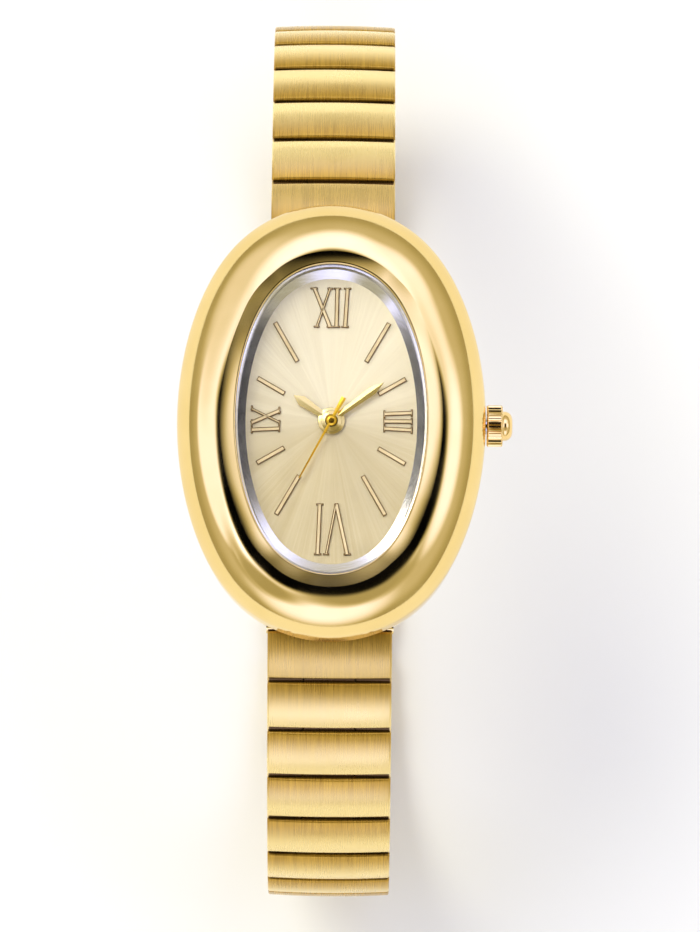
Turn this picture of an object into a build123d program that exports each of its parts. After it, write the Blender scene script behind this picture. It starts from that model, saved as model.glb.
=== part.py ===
"""Oval wristwatch on a bracelet of solid hinged links, lying dial up on its closed clasp.

Units are millimetres and degrees. X points to the crown at 3 o'clock, Y to 12 o'clock
and Z out of the dial. The origin lies under the dial's centre, on the outer face of
the clasp cover, which is the face that the watch rests on.
"""

from build123d import *
import math
import os

# Head outline
case_half_width = 12.6
case_half_length = 17.9
end_radius_share = 0.88
bezel_width = 4.8
bezel_extra_at_ends = 0.4
ring_width = 0.85
ring_extra_at_ends = 0.2

# Heights in the head, measured from the girth, where the head is widest
bezel_crest_height = 3.1
bezel_skirt_depth = 1.0
bezel_outer_round_share = 0.64
bezel_inner_round_share = 0.25
bezel_lower_round = 0.8
bezel_land = 0.5
bezel_round_limit_share = 0.75
case_inset = 0.17
case_edge_round = 0.5
collar_inset = 1.6
collar_height = 0.9
collar_gap = 0.05
dial_level = 0.1
dial_thickness = 0.35
crystal_seat_height = 1.5
crystal_edge_thickness = 0.8
crystal_rise = 0.5
crystal_clearance = 0.02

# Dial ring
ring_clearance = 0.05
ring_flange_width = 0.3
ring_flare = 0.6

# Dial and its applied markers
dial_under_ring = 0.2
marker_height = 0.18
baton_width = 0.38
long_baton_share = 0.318
short_baton_share = 0.367
baton_gap_share = 0.085
dial_outline_power = 2.25
twelve_height_share = 0.283
six_height_share = 0.36
end_numeral_width_share = 0.446
side_numeral_height_share = 0.342
three_width_share = 0.288
nine_width_share = 0.331
end_numeral_gap = 0.73
side_numeral_gap = 0.43
numeral_stroke = 0.34
numeral_thin_stroke = 0.22
numeral_serif = 0.16
serif_reach = 0.13
narrow_letter_share = 0.42
numeral_base_share = 0.85

# Movement cavity and holder
case_wall = 3.8
holder_clearance = 0.05
holder_depth = 3.5
holder_wall = 1.6
holder_wall_at_ends = 4.7
plate_shape_share = 0.766
plate_corner_share = 0.417
plate_clearance = 0.03

# Movement levels, downwards from the dial's underside
motion_space = 1.0
plate_thickness = 0.7
train_space = 1.9
bridge_thickness = 0.35
back_clearance = 0.15

# Case back and gasket
back_thickness = 0.75
back_recess = 0.2
back_overlap = 0.95
back_overlap_at_ends = 0.63
back_plug_height = 0.55
back_plug_wall = 0.5
back_edge_round = 0.3
back_clearance_side = 0.05
gasket_width = 0.4
gasket_height = 0.4
gasket_squeeze = 0.02

# Gear train
tooth_addendum_share = 0.8
tooth_dedendum_share = 1.25
tooth_root_share = 0.27
tooth_tip_share = 0.13
wheel_thickness = 0.15
pinion_height = 0.3
arbor_radius_share = 0.0153
pivot_clearance = 0.02
pivot_depth = 0.15
pivot_end_gap = 0.15
second_module_share = 0.0125
second_pinion_teeth = 8
third_wheel_teeth = 60
third_pinion_teeth = 8
centre_wheel_teeth = 64
rotor_pinion_teeth = 6
intermediate_wheel_teeth = 30
intermediate_pinion_teeth = 6
second_wheel_teeth = 36
second_wheel_module_share = 0.0208
intermediate_module_share = 0.0167
motion_module_share = 0.0139
cannon_teeth = 10
minute_wheel_teeth = 30
minute_pinion_teeth = 8
hour_wheel_teeth = 32
third_bearing = 125
intermediate_bearing = 195
rotor_bearing = 230
minute_wheel_bearing = 300
cannon_bore_gap = 0.03
cannon_wall_share = 0.0292
hour_pipe_gap = 0.04
hour_pipe_wall_share = 0.0306
dial_hole_gap = 0.1
third_pinion_level_share = 0.05
centre_wheel_level_share = 0.08
third_wheel_level_share = 0.29
stator_level_share = 0.42
second_wheel_level_share = 0.605
intermediate_wheel_level_share = 0.79
minute_stud_level_share = 0.05
minute_pinion_level_share = 0.1
hour_wheel_level_share = 0.15
cannon_level_share = 0.5

# Rotor, stator and coil
rotor_radius_share = 0.09
rotor_length = 0.9
rotor_air_gap = 0.15
stator_thickness = 0.25
stator_half_width_share = 0.157
stator_half_length_share = 0.444
stator_arm_width_share = 0.125
coil_radius_share = 0.083
coil_side_gap = 0.2
coil_core_width_share = 0.083

# Battery, circuit and screws
battery_radius_share = 0.4
battery_height = 1.65
battery_gap = 0.2
battery_can_height_share = 0.8
battery_cap_radius_share = 0.86
board_thickness = 0.25
board_width_share = 0.36
board_length_share = 0.64
board_edge_gap = 0.3
chip_size_share = 0.19
chip_height = 0.35
quartz_can_radius = 0.35
quartz_can_length_share = 0.3
quartz_can_gap = 0.7
pillar_radius = 0.55
pillar_inset_share = 0.26
screw_radius = 0.22
screw_head_radius = 0.42
screw_head_height = 0.12
screw_recess = 0.2
screw_grip = 1.1
screw_slot_width = 0.12
screw_slot_depth = 0.06
screw_clearance = 0.01
screw_head_clearance = 0.03

# Hands
hour_hand_length_share = 0.518
hour_hand_width = 0.85
minute_hand_length_share = 0.763
minute_hand_width = 0.7
second_hand_length_share = 0.777
second_hand_width = 0.22
second_tail_length_share = 0.302
second_tail_width = 0.42
hour_hub_radius = 1.1
minute_hub_radius = 0.85
second_hub_radius = 0.45
hand_base_share = 0.55
hand_shoulder_share = 0.78
hour_hand_height = 0.22
hand_thickness = 0.12
hand_spacing = 0.14
hub_extra = 0.06
hub_clearance = 0.01
hour_hand_bearing = 56.0
minute_hand_bearing = -53.7
second_hand_bearing = -208.5

# Crown, tube and stem
crown_depth_below_girth = 1.75
crown_radius = 1.7
crown_length = 1.3
crown_gap = 0.1
crown_ridges = 28
crown_ridge_depth = 0.12
crown_ridge_start_share = 0.35
crown_ridge_end_share = 0.65
crown_cap_radius = 1.2
crown_cap_length = 0.8
crown_cap_round_share = 0.85
crown_bore_depth = 0.85
crown_pull = 1.0
tube_radius = 0.68
tube_wall = 0.17
tube_clearance = 0.06
stem_radius = 0.42
stem_screwed_length = 0.35
stem_inner_setback = 3.0
stem_neck_radius = 0.28
stem_neck_setback = 1.6
stem_neck_length = 0.34
stem_clearance = 0.06
lever_thickness = 0.28
lever_length = 2.6
lever_width = 1.1
lever_clearance = 0.03

# Bracelet: the same link thirteen times on each side
link_pitch = 4.4
bracelet_width = 10.2
link_gap = 0.35
link_crest = 1.35
link_edge_drop = 0.35
link_underside = 0.9
link_underside_chamfer = 0.25
link_crown = 0.15
knuckle_radius = 0.6
knuckle_clearance = 0.08
knuckle_side_gap = 0.06
tongue_width_share = 0.412
pin_radius = 0.3
pin_running_clearance = 0.03
pin_press_clearance = 0.005
pin_recess = 0.05
link_angle_shares = (0.139, 0.167, 0.2, 0.244, 0.3, 0.367, 0.444, 0.533,
                     0.628, 0.722, 0.817, 0.9, 0.967)
clasp_angle_share = 1.0

# Hidden lugs under the head
lug_pin_below_girth = 4.4
lug_pin_inset = 1.6
lug_gap = 0.1
notch_side_gap = 0.1
notch_depth_gap = 0.35
notch_roof_gap = 0.2

# Clasp
clasp_plate_top = 0.45
clasp_plate_bottom = 0.6
clasp_middle_gap = 0.3
clasp_shoulder_length = 3.0
cover_hinge_setback = 5.2
cover_thickness = 0.85
cover_gap = 0.2
cover_start = 1.3
cover_wall = 0.4
cover_wall_gap = 0.1
cover_wall_reach = 0.3
cover_knuckle_radius = 0.75
cover_end_setback = 5.5
stud_radius = 0.5
stud_height = 0.5
stud_setback = 7.1
window_slack = 0.8
window_side_gap = 0.25
rung_count = 3
rung_slot_length = 1.2
rung_slot_width_share = 0.49
rung_spacing = 2.3
rung_start_setback = 9.4

# One overrun that all cuts share, and one for swept angles
overrun = 1.0
angle_overrun = 1.0

# Worked out from the sizes above
crystal_half_width = case_half_width - bezel_width
crystal_half_length = case_half_length - bezel_width - bezel_extra_at_ends
dial_half_width = crystal_half_width - ring_width
dial_half_length = crystal_half_length - ring_width - ring_extra_at_ends
cavity_half_width = case_half_width - case_wall
cavity_half_length = case_half_length - case_wall
plate_half_width = cavity_half_width - holder_wall
plate_half_length = cavity_half_length - holder_wall_at_ends
movement_half = min(plate_half_width, plate_half_length * plate_shape_share)
plate_corner = plate_half_width * plate_corner_share
second_module = movement_half * second_module_share
second_wheel_module = movement_half * second_wheel_module_share
intermediate_module = movement_half * intermediate_module_share
motion_module = movement_half * motion_module_share
arbor_radius = movement_half * arbor_radius_share
cannon_pipe_radius = arbor_radius + cannon_bore_gap + movement_half * cannon_wall_share
hour_pipe_radius = cannon_pipe_radius + hour_pipe_gap + movement_half * hour_pipe_wall_share
rotor_radius = movement_half * rotor_radius_share
stator_half_width = movement_half * stator_half_width_share
stator_half_length = movement_half * stator_half_length_share
stator_arm_width = movement_half * stator_arm_width_share
coil_radius = movement_half * coil_radius_share
coil_core_width = movement_half * coil_core_width_share
battery_radius = movement_half * battery_radius_share
board_width = movement_half * board_width_share
board_length = movement_half * board_length_share
chip_size = movement_half * chip_size_share
quartz_can_length = movement_half * quartz_can_length_share
pillar_inset = movement_half * pillar_inset_share
stem_inner_end = plate_half_width - stem_inner_setback
stem_neck_position = plate_half_width - stem_neck_setback
hour_hand_length = dial_half_width * hour_hand_length_share
minute_hand_length = dial_half_width * minute_hand_length_share
second_hand_length = dial_half_width * second_hand_length_share
second_tail_length = dial_half_width * second_tail_length_share
tongue_width = bracelet_width * tongue_width_share
clasp_plate_width = bracelet_width - 2 * (cover_wall + cover_wall_gap)
rung_slot_width = bracelet_width * rung_slot_width_share
clasp_outer = clasp_plate_top + cover_gap + cover_thickness


def link_angles():
    """Angle of each link below the horizontal, from the head to the clasp."""
    return [180 * share for share in link_angle_shares]


def pins_from_head():
    """Pin places of one side as (y, z), with z counted from the first pin."""
    y = case_half_length - lug_pin_inset
    z = 0.0
    pins = [(y, z)]
    for angle in link_angles():
        y += link_pitch * math.cos(math.radians(angle))
        z -= link_pitch * math.sin(math.radians(angle))
        pins.append((y, z))
    return pins


first_pin_height = clasp_outer - pins_from_head()[-1][1]
girth = first_pin_height + lug_pin_below_girth
clasp_half_length = pins_from_head()[-1][0] - clasp_middle_gap / 2
dial_underside = girth + dial_level
dial_top = dial_underside + dial_thickness
plate_top = dial_underside - motion_space
plate_bottom = plate_top - plate_thickness
bridge_top = plate_bottom - train_space
bridge_bottom = bridge_top - bridge_thickness
back_seat = bridge_bottom - back_clearance
case_bottom = back_seat - back_recess
crown_height = girth - crown_depth_below_girth
crown_start = case_half_width + crown_gap


def pins():
    """Pin places of one side as (y, z) in the watch's frame."""
    return [(y, z + first_pin_height) for y, z in pins_from_head()]


def polar(radius, bearing):
    """Point at a radius and a bearing in degrees, anticlockwise from +X."""
    return (radius * math.cos(math.radians(bearing)), radius * math.sin(math.radians(bearing)))


# Plain building shapes

def oval_face(half_width, half_length):
    """Oval of four tangent arcs, longer along Y."""
    end = end_radius_share * half_width
    side = (half_width**2 + half_length**2 - 2 * half_length * end) / (2 * (half_width - end))
    reach = side / (side - end)
    x = (side - half_width) * (reach - 1)
    y = (half_length - end) * reach
    outline = Wire([
        ThreePointArc((x, -y), (half_width, 0), (x, y)),
        ThreePointArc((x, y), (0, half_length), (-x, y)),
        ThreePointArc((-x, y), (-half_width, 0), (-x, -y)),
        ThreePointArc((-x, -y), (0, -half_length), (x, -y)),
    ])
    return Face(outline)


def oval_slab(half_width, half_length, bottom, top):
    """Upright oval slab between two heights."""
    return Pos(0, 0, bottom) * extrude(oval_face(half_width, half_length), top - bottom)


def disc(radius, bottom, top, x=0, y=0):
    """Upright cylinder between two heights."""
    height = top - bottom
    return Pos(x, y, bottom + height / 2) * Cylinder(radius, height)


def block(x_span, y_span, z_span):
    """Box between two values along each axis."""
    size = [span[1] - span[0] for span in (x_span, y_span, z_span)]
    middle = [(span[1] + span[0]) / 2 for span in (x_span, y_span, z_span)]
    return Pos(*middle) * Box(*size)


def rod(radius, start, end, y, z):
    """Cylinder along X between two values of X."""
    length = end - start
    return Pos(start + length / 2, y, z) * Rot(0, 90, 0) * Cylinder(radius, length)


def rounded_slab(half_width, half_length, corner, bottom, top):
    """Upright slab with a rounded rectangular outline."""
    outline = RectangleRounded(2 * half_width, 2 * half_length, corner)
    return Pos(0, 0, bottom) * extrude(outline, top - bottom)


def toothed(teeth, module, bottom, top, x=0, y=0, tooth_bearing=0.0, bore=0.0):
    """Gear with straight-sided teeth, one of them centred on tooth_bearing."""
    radius = module * teeth / 2
    tip = radius + tooth_addendum_share * module
    root = radius - tooth_dedendum_share * module
    step = 360 / teeth
    points = []
    for tooth in range(teeth):
        bearing = tooth_bearing + step * tooth
        points.append(polar(root, bearing - tooth_root_share * step))
        points.append(polar(tip, bearing - tooth_tip_share * step))
        points.append(polar(tip, bearing + tooth_tip_share * step))
        points.append(polar(root, bearing + tooth_root_share * step))
    outline = make_face(Polyline(*points, close=True))
    gear = Pos(x, y, bottom) * extrude(outline, top - bottom)
    if bore > 0:
        gear -= disc(bore, bottom - overrun, top + overrun, x, y)
    return gear


def gap_bearing(teeth, towards):
    """Bearing of a tooth that leaves a gap between two teeth facing towards."""
    return towards + 180 / teeth


# Head

def bezel():
    """Thick rounded ring with the crystal's seat inside."""
    height = bezel_crest_height + bezel_skirt_depth
    outer_round = min(bezel_outer_round_share * bezel_width, bezel_round_limit_share * height)
    inner_round = bezel_inner_round_share * bezel_width
    bottom = girth - bezel_skirt_depth
    crest = girth + bezel_crest_height
    ring = oval_slab(case_half_width, case_half_length, bottom, crest)
    ring = fillet(ring.edges().group_by(Axis.Z)[-1], outer_round)
    lower_round = min(bezel_lower_round, height - outer_round - bezel_land)
    ring = fillet(ring.edges().group_by(Axis.Z)[0], lower_round)
    ring -= oval_slab(crystal_half_width, crystal_half_length, bottom - overrun, crest + overrun)
    inner_edges = [
        edge for edge in ring.edges().group_by(Axis.Z)[-1]
        if abs((edge @ 0.5).X) < crystal_half_width + collar_gap
        and abs((edge @ 0.5).Y) < crystal_half_length + collar_gap
    ]
    ring = fillet(inner_edges, inner_round)
    collar = oval_slab(case_half_width - collar_inset + collar_gap,
                       case_half_length - collar_inset + collar_gap,
                       bottom - overrun, girth + collar_height + collar_gap)
    return ring - collar


def case_body():
    """Case middle with the movement cavity, the crown's hole and the hidden lugs."""
    half_width = case_half_width - case_inset
    half_length = case_half_length - case_inset
    shoulder = girth - bezel_skirt_depth
    body = oval_slab(half_width, half_length, case_bottom, shoulder)
    body = fillet(body.edges().group_by(Axis.Z)[0], case_edge_round)
    body += oval_slab(case_half_width - collar_inset, case_half_length - collar_inset,
                      shoulder, girth + collar_height)
    body -= oval_slab(cavity_half_width, cavity_half_length, case_bottom - overrun, dial_underside)
    opening = crystal_half_width - ring_flange_width + ring_clearance
    opening_length = crystal_half_length - ring_flange_width + ring_clearance
    body -= oval_slab(opening, opening_length, dial_underside - overrun, girth + collar_height + overrun)
    body -= oval_slab(cavity_half_width + back_overlap, cavity_half_length + back_overlap_at_ends,
                      case_bottom - overrun, back_seat)
    body -= gasket_ring(gasket_squeeze)
    body -= rod(tube_radius, cavity_half_width - overrun, case_half_width + overrun, 0, crown_height)
    for side in (1, -1):
        body -= lug_notch(side)
    for side in (1, -1):
        body += lug_ears(side)
    for side in (1, -1):
        pin_y = side * (case_half_length - lug_pin_inset)
        reach = bracelet_width / 2 + notch_side_gap / 2
        body -= rod(pin_radius + pin_press_clearance, -reach, reach, pin_y, first_pin_height)
    return body


def notch_inner_wall():
    """Distance from the centre to the notch's inner wall."""
    return case_half_length - lug_pin_inset - knuckle_radius - notch_depth_gap


def lug_notch(side):
    """Space that the first link needs under one end of the head."""
    roof = first_pin_height + link_crest + notch_roof_gap
    reach = bracelet_width / 2 + notch_side_gap
    near = notch_inner_wall()
    far = case_half_length + overrun
    ends = sorted((side * near, side * far))
    return block((-reach, reach), ends, (case_bottom - overrun, roof))


def lug_ears(side):
    """Pair of lugs that hold the spring bar at one end of the head."""
    inner = tongue_width / 2 + lug_gap
    outer = bracelet_width / 2 + notch_side_gap
    pin_y = case_half_length - lug_pin_inset
    roof = first_pin_height + link_crest + notch_roof_gap
    near = notch_inner_wall() - pin_recess
    ears = Part()
    for hand in (1, -1):
        x_span = sorted((hand * inner, hand * outer))
        ends = sorted((side * near, side * (pin_y - lug_gap)))
        ear = block(x_span, ends, (first_pin_height - knuckle_radius, roof))
        ear += rod(knuckle_radius, x_span[0], x_span[1], side * pin_y, first_pin_height)
        ears += ear
    return ears


def spring_bars():
    """Two bars that hold the first links."""
    half = bracelet_width / 2 - pin_recess
    pin_y = case_half_length - lug_pin_inset
    return [rod(pin_radius, -half, half, side * pin_y, first_pin_height) for side in (1, -1)]


def crystal():
    """Pressed oval crystal, flat inside and domed outside."""
    half_width = crystal_half_width - crystal_clearance
    half_length = crystal_half_length - crystal_clearance
    bottom = girth + crystal_seat_height
    top = bottom + crystal_edge_thickness + crystal_rise
    slab = oval_slab(half_width, half_length, bottom, top)
    dome_radius = (half_length**2 + crystal_rise**2) / (2 * crystal_rise)
    return slab & Pos(0, 0, top - dome_radius) * Sphere(dome_radius)


def dial_ring():
    """Bevelled ring between the dial and the crystal."""
    bottom = dial_top
    flange_bottom = girth + collar_height
    top = girth + crystal_seat_height
    body = oval_slab(crystal_half_width - ring_flange_width, crystal_half_length - ring_flange_width,
                     bottom, top)
    body += oval_slab(crystal_half_width - ring_clearance, crystal_half_length - ring_clearance,
                      flange_bottom, top)
    low = Pos(0, 0, bottom) * oval_face(dial_half_width, dial_half_length)
    high = Pos(0, 0, top) * oval_face(dial_half_width + ring_flare, dial_half_length + ring_flare)
    return body - loft([low, high], ruled=True)


def dial():
    """Flat dial plate with a hole for the hands' pipes."""
    plate = oval_slab(dial_half_width + dial_under_ring, dial_half_length + dial_under_ring,
                      dial_underside, dial_top)
    return plate - disc(hour_pipe_radius + dial_hole_gap, dial_underside - overrun, dial_top + overrun)


def dial_edge(bearing):
    """Distance from the centre to the visible edge of the dial along a bearing."""
    x, y = polar(1, bearing)
    across = abs(x / dial_half_width)**dial_outline_power
    along = abs(y / dial_half_length)**dial_outline_power
    return (across + along)**(-1 / dial_outline_power)


def baton(bearing, length):
    """Straight applied marker that points to the centre."""
    outer = dial_edge(bearing) * (1 - baton_gap_share)
    half = baton_width / 2
    bar = block((outer - length, outer), (-half, half), (dial_top, dial_top + marker_height))
    ridge = chamfer(bar.edges().group_by(Axis.Z)[-1].filter_by(Axis.X), marker_height / 2)
    return Rot(0, 0, bearing) * ridge


def stroke(start, end, width):
    """Bar of a numeral between two points."""
    length = math.dist(start, end)
    turn = math.degrees(math.atan2(end[1] - start[1], end[0] - start[0]))
    bar = block((0, length), (-width / 2, width / 2), (dial_top, dial_top + marker_height))
    return Pos(start[0], start[1], 0) * Rot(0, 0, turn) * bar


def letter_strokes(letter, middle, width, half):
    """Strokes of one letter as (foot, top, stroke width), the feet drawn together a little."""
    foot = middle * numeral_base_share
    lean = width / 2 - numeral_stroke / 2
    foot_lean = lean * numeral_base_share
    if letter == "I":
        return [((foot, -half), (middle, half), numeral_stroke)]
    if letter == "V":
        return [((foot, -half), (middle - lean, half), numeral_stroke),
                ((foot, -half), (middle + lean, half), numeral_thin_stroke)]
    return [((foot + foot_lean, -half), (middle - lean, half), numeral_stroke),
            ((foot - foot_lean, -half), (middle + lean, half), numeral_thin_stroke)]


def numeral(letters, height, width, bearing, distance):
    """Roman numeral with serifs, tops outwards; distance is to the numeral's middle."""
    half = height / 2
    shares = [narrow_letter_share if letter == "I" else 1 for letter in letters]
    cursor = -width / 2
    bars = []
    for letter, share in zip(letters, shares):
        advance = width * share / sum(shares)
        for foot, top, thickness in letter_strokes(letter, cursor + advance / 2, advance, half):
            bars.append(stroke(foot, top, thickness))
            ends = (top,) if letter == "V" else (foot, top)
            for x, y in ends:
                reach = thickness / 2 + serif_reach
                level = math.copysign(half - numeral_serif / 2, y)
                bars.append(stroke((x - reach, level), (x + reach, level), numeral_serif))
        cursor += advance
    solid = bars[0]
    for bar in bars[1:]:
        solid += bar
    return Rot(0, 0, bearing - 90) * Pos(0, distance, 0) * solid


def hour_markers():
    """Eight batons and four numerals."""
    long_baton = dial_half_length * long_baton_share
    short_baton = dial_half_width * short_baton_share
    markers = [baton(90 - 30 * hour, long_baton) for hour in (1, 5, 7, 11)]
    markers += [baton(90 - 30 * hour, short_baton) for hour in (2, 4, 8, 10)]
    end = dial_half_length - end_numeral_gap
    width = dial_half_width * end_numeral_width_share
    twelve_height = dial_half_length * twelve_height_share
    six_height = dial_half_length * six_height_share
    markers.append(numeral("XII", twelve_height, width, 90, end - twelve_height / 2))
    markers.append(numeral("VI", six_height, width, -90, end - six_height / 2))
    height = dial_half_width * side_numeral_height_share
    side = dial_half_width - side_numeral_gap - height / 2
    markers.append(numeral("III", height, dial_half_width * three_width_share, 0, side))
    markers.append(numeral("IX", height, dial_half_width * nine_width_share, 180, side))
    return markers


# Case back

def gasket_ring(growth=0.0):
    """Ring that seals the case back."""
    outer = gasket_width + back_clearance_side + growth
    ring = oval_slab(cavity_half_width + outer, cavity_half_length + outer,
                     back_seat, back_seat + gasket_height + growth)
    bore = oval_slab(cavity_half_width + back_clearance_side, cavity_half_length + back_clearance_side,
                     back_seat - overrun, back_seat + gasket_height + overrun)
    return ring - bore


def caseback():
    """Snap-in case back with a flat outer face."""
    flange = oval_slab(cavity_half_width + back_overlap - back_clearance_side,
                       cavity_half_length + back_overlap_at_ends - back_clearance_side,
                       back_seat - back_thickness, back_seat)
    flange = fillet(flange.edges().group_by(Axis.Z)[0], back_edge_round)
    plug = oval_slab(cavity_half_width - back_clearance_side, cavity_half_length - back_clearance_side,
                     back_seat, back_seat + back_plug_height)
    plug -= oval_slab(cavity_half_width - back_plug_wall, cavity_half_length - back_plug_wall,
                      back_seat - overrun, back_seat + back_plug_height + overrun)
    return flange + plug


# Movement

def holder_bottom():
    """Lower face of the movement holder, clear of the case back's plug."""
    return max(dial_underside - holder_depth, back_seat + back_plug_height + holder_clearance)


def movement_holder():
    """Plastic ring that centres the movement in the case."""
    ring = oval_slab(cavity_half_width - holder_clearance, cavity_half_length - holder_clearance,
                     holder_bottom(), dial_underside)
    ring -= rounded_slab(plate_half_width + plate_clearance, plate_half_length + plate_clearance,
                         plate_corner, holder_bottom() - overrun, dial_underside + overrun)
    reach = cavity_half_width + overrun
    channel = stem_radius + stem_clearance
    ring -= rod(channel, plate_half_width - overrun, reach, 0, crown_height)
    ring -= block((plate_half_width - overrun, reach), (-channel, channel),
                  (holder_bottom() - overrun, crown_height))
    return ring


def third_place():
    """Axis of the third wheel."""
    return polar(second_module * (second_pinion_teeth + third_wheel_teeth) / 2, third_bearing)


def intermediate_place():
    """Axis of the intermediate wheel."""
    teeth = intermediate_pinion_teeth + second_wheel_teeth
    return polar(second_wheel_module * teeth / 2, intermediate_bearing)


def rotor_place():
    """Axis of the rotor."""
    teeth = rotor_pinion_teeth + intermediate_wheel_teeth
    x, y = polar(intermediate_module * teeth / 2, rotor_bearing)
    return (intermediate_place()[0] + x, intermediate_place()[1] + y)


def minute_wheel_place():
    """Axis of the minute wheel."""
    return polar(motion_module * (cannon_teeth + minute_wheel_teeth) / 2, minute_wheel_bearing)


def battery_place():
    """Centre of the battery, below the centre wheel."""
    centre_module = 2 * math.dist((0, 0), third_place()) / (third_pinion_teeth + centre_wheel_teeth)
    wheel_tip = centre_module * (centre_wheel_teeth / 2 + tooth_addendum_share)
    return (0, -(wheel_tip + battery_gap + battery_radius))


def train_level(share):
    """Height in the train space, as a share of it below the main plate."""
    return plate_bottom - share * train_space


def pillar_places():
    """Four pillars that hold the train bridge."""
    x = plate_half_width - pillar_inset
    y = plate_half_length - pillar_inset
    return [(x, y), (-x, y), (x, -y), (-x, -y)]


def main_plate():
    """Main plate with pillars, the minute wheel's stud and pivot holes."""
    plate = rounded_slab(plate_half_width, plate_half_length, plate_corner, plate_bottom, plate_top)
    for x, y in pillar_places():
        plate += disc(pillar_radius, bridge_top, plate_bottom, x, y)
    stud = minute_wheel_place()
    plate += disc(arbor_radius, plate_top, dial_underside - motion_space * minute_stud_level_share, *stud)
    plate -= disc(cannon_pipe_radius + pivot_clearance, plate_bottom - overrun, plate_top + overrun)
    for x, y in (third_place(), intermediate_place(), rotor_place()):
        plate -= disc(arbor_radius + pivot_clearance, plate_bottom - overrun,
                      plate_bottom + pivot_depth + pivot_end_gap, x, y)
    for x, y in pillar_places():
        plate -= disc(screw_radius + screw_clearance, bridge_top - overrun, bridge_top + screw_grip, x, y)
    channel = stem_radius + stem_clearance
    plate -= rod(channel, stem_inner_end - overrun, plate_half_width + overrun, 0, crown_height)
    lever_low = crown_height - lever_length
    plate -= block((stem_neck_position - lever_thickness, stem_neck_position + lever_thickness + crown_pull
                    + stem_clearance), (-lever_width, lever_width),
                   (max(lever_low, bridge_top), plate_bottom + stem_radius + lever_clearance))
    return plate


def train_bridge():
    """Bridge that carries the lower pivots of the train."""
    bridge = rounded_slab(plate_half_width, plate_half_length, plate_corner, bridge_bottom, bridge_top)
    bridge -= disc(battery_radius + battery_gap, bridge_bottom - overrun, bridge_top + overrun,
                   *battery_place())
    for x, y in ((0, 0), third_place(), intermediate_place(), rotor_place()):
        bridge -= disc(arbor_radius + pivot_clearance, bridge_top - pivot_depth, bridge_top + overrun, x, y)
    for x, y in pillar_places():
        bridge -= disc(screw_radius + screw_clearance, bridge_bottom - overrun, bridge_top + overrun, x, y)
        bridge -= disc(screw_head_radius + screw_head_clearance, bridge_bottom - overrun,
                       bridge_bottom + screw_recess, x, y)
    return bridge


def movement_screws():
    """Four slotted screws."""
    screws = []
    seat = bridge_bottom + screw_recess
    for x, y in pillar_places():
        screw = disc(screw_head_radius, seat - screw_head_height, seat, x, y)
        screw += disc(screw_radius, seat, bridge_top + screw_grip, x, y)
        screw -= block((x - screw_head_radius, x + screw_head_radius),
                       (y - screw_slot_width / 2, y + screw_slot_width / 2),
                       (seat - screw_head_height - overrun, seat - screw_head_height + screw_slot_depth))
        screws.append(screw)
    return screws


def battery():
    """Button cell with its stepped rim."""
    x, y = battery_place()
    rim = plate_bottom - battery_height * battery_can_height_share
    cell = disc(battery_radius, rim, plate_bottom, x, y)
    return cell + disc(battery_radius * battery_cap_radius_share, plate_bottom - battery_height, rim, x, y)


def coil_line():
    """Place in X of the coil's axis."""
    return -(plate_half_width - coil_side_gap - coil_radius)


def stator():
    """Stator plate around the rotor, and the coil's core under its arms."""
    x, y = rotor_place()
    top = train_level(stator_level_share)
    bottom = top - stator_thickness
    low = y - stator_half_length
    high = y + stator_half_length
    plate = block((x - stator_half_width, x + stator_half_width), (low, high), (bottom, top))
    arm_reach = (coil_line() - coil_core_width, x)
    plate += block(arm_reach, (high - stator_arm_width, high), (bottom, top))
    plate += block(arm_reach, (low, low + stator_arm_width), (bottom, top))
    plate -= disc(rotor_radius + rotor_air_gap, bottom - overrun, top + overrun, x, y)
    half_core = coil_core_width / 2
    core = block((coil_line() - half_core, coil_line() + half_core), (low, high),
                 (bottom - stator_thickness, bottom))
    return [plate, core]


def coil():
    """Winding on the coil's core."""
    y = rotor_place()[1]
    half = stator_half_length - stator_arm_width - coil_side_gap
    middle = train_level(stator_level_share) - stator_thickness - stator_thickness / 2
    winding = Pos(coil_line(), y, middle) * Rot(90, 0, 0) * Cylinder(coil_radius, 2 * half)
    half_core = coil_core_width / 2
    core = block((coil_line() - half_core, coil_line() + half_core),
                 (y - half - overrun, y + half + overrun),
                 (middle - stator_thickness / 2, middle + stator_thickness / 2))
    return winding - core


def circuit_board():
    """Circuit board with its chip and quartz can, on the train bridge."""
    x_far = plate_half_width - board_edge_gap
    y_low = battery_place()[1] + board_edge_gap
    top = bridge_top + board_thickness
    x_near = x_far - board_width
    board = block((x_near, x_far), (y_low, y_low + board_length), (bridge_top, top))
    middle = (x_near + x_far) / 2
    chip_y = y_low + chip_size
    chip = block((middle - chip_size / 2, middle + chip_size / 2),
                 (chip_y - chip_size / 2, chip_y + chip_size / 2), (top, top + chip_height))
    can_y = chip_y + chip_size / 2 + quartz_can_gap + quartz_can_radius
    can = rod(quartz_can_radius, middle - quartz_can_length / 2, middle + quartz_can_length / 2,
              can_y, top + quartz_can_radius)
    return [board, chip, can]


def centre_wheel():
    """Centre wheel with the cannon pinion and its pipe, which carries the minute hand."""
    module = 2 * math.dist((0, 0), third_place()) / (third_pinion_teeth + centre_wheel_teeth)
    top = train_level(centre_wheel_level_share)
    bore = arbor_radius + cannon_bore_gap
    towards = third_bearing
    wheel = toothed(centre_wheel_teeth, module, top - wheel_thickness, top,
                    tooth_bearing=gap_bearing(centre_wheel_teeth, towards))
    pinion_top = dial_underside - motion_space * cannon_level_share
    wheel += toothed(cannon_teeth, motion_module, pinion_top - pinion_height, pinion_top,
                     tooth_bearing=minute_wheel_bearing)
    wheel += disc(cannon_pipe_radius, top - wheel_thickness, minute_hand_level() + hand_thickness)
    return wheel - disc(bore, bridge_bottom, dial_top + crystal_seat_height + overrun)


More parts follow.
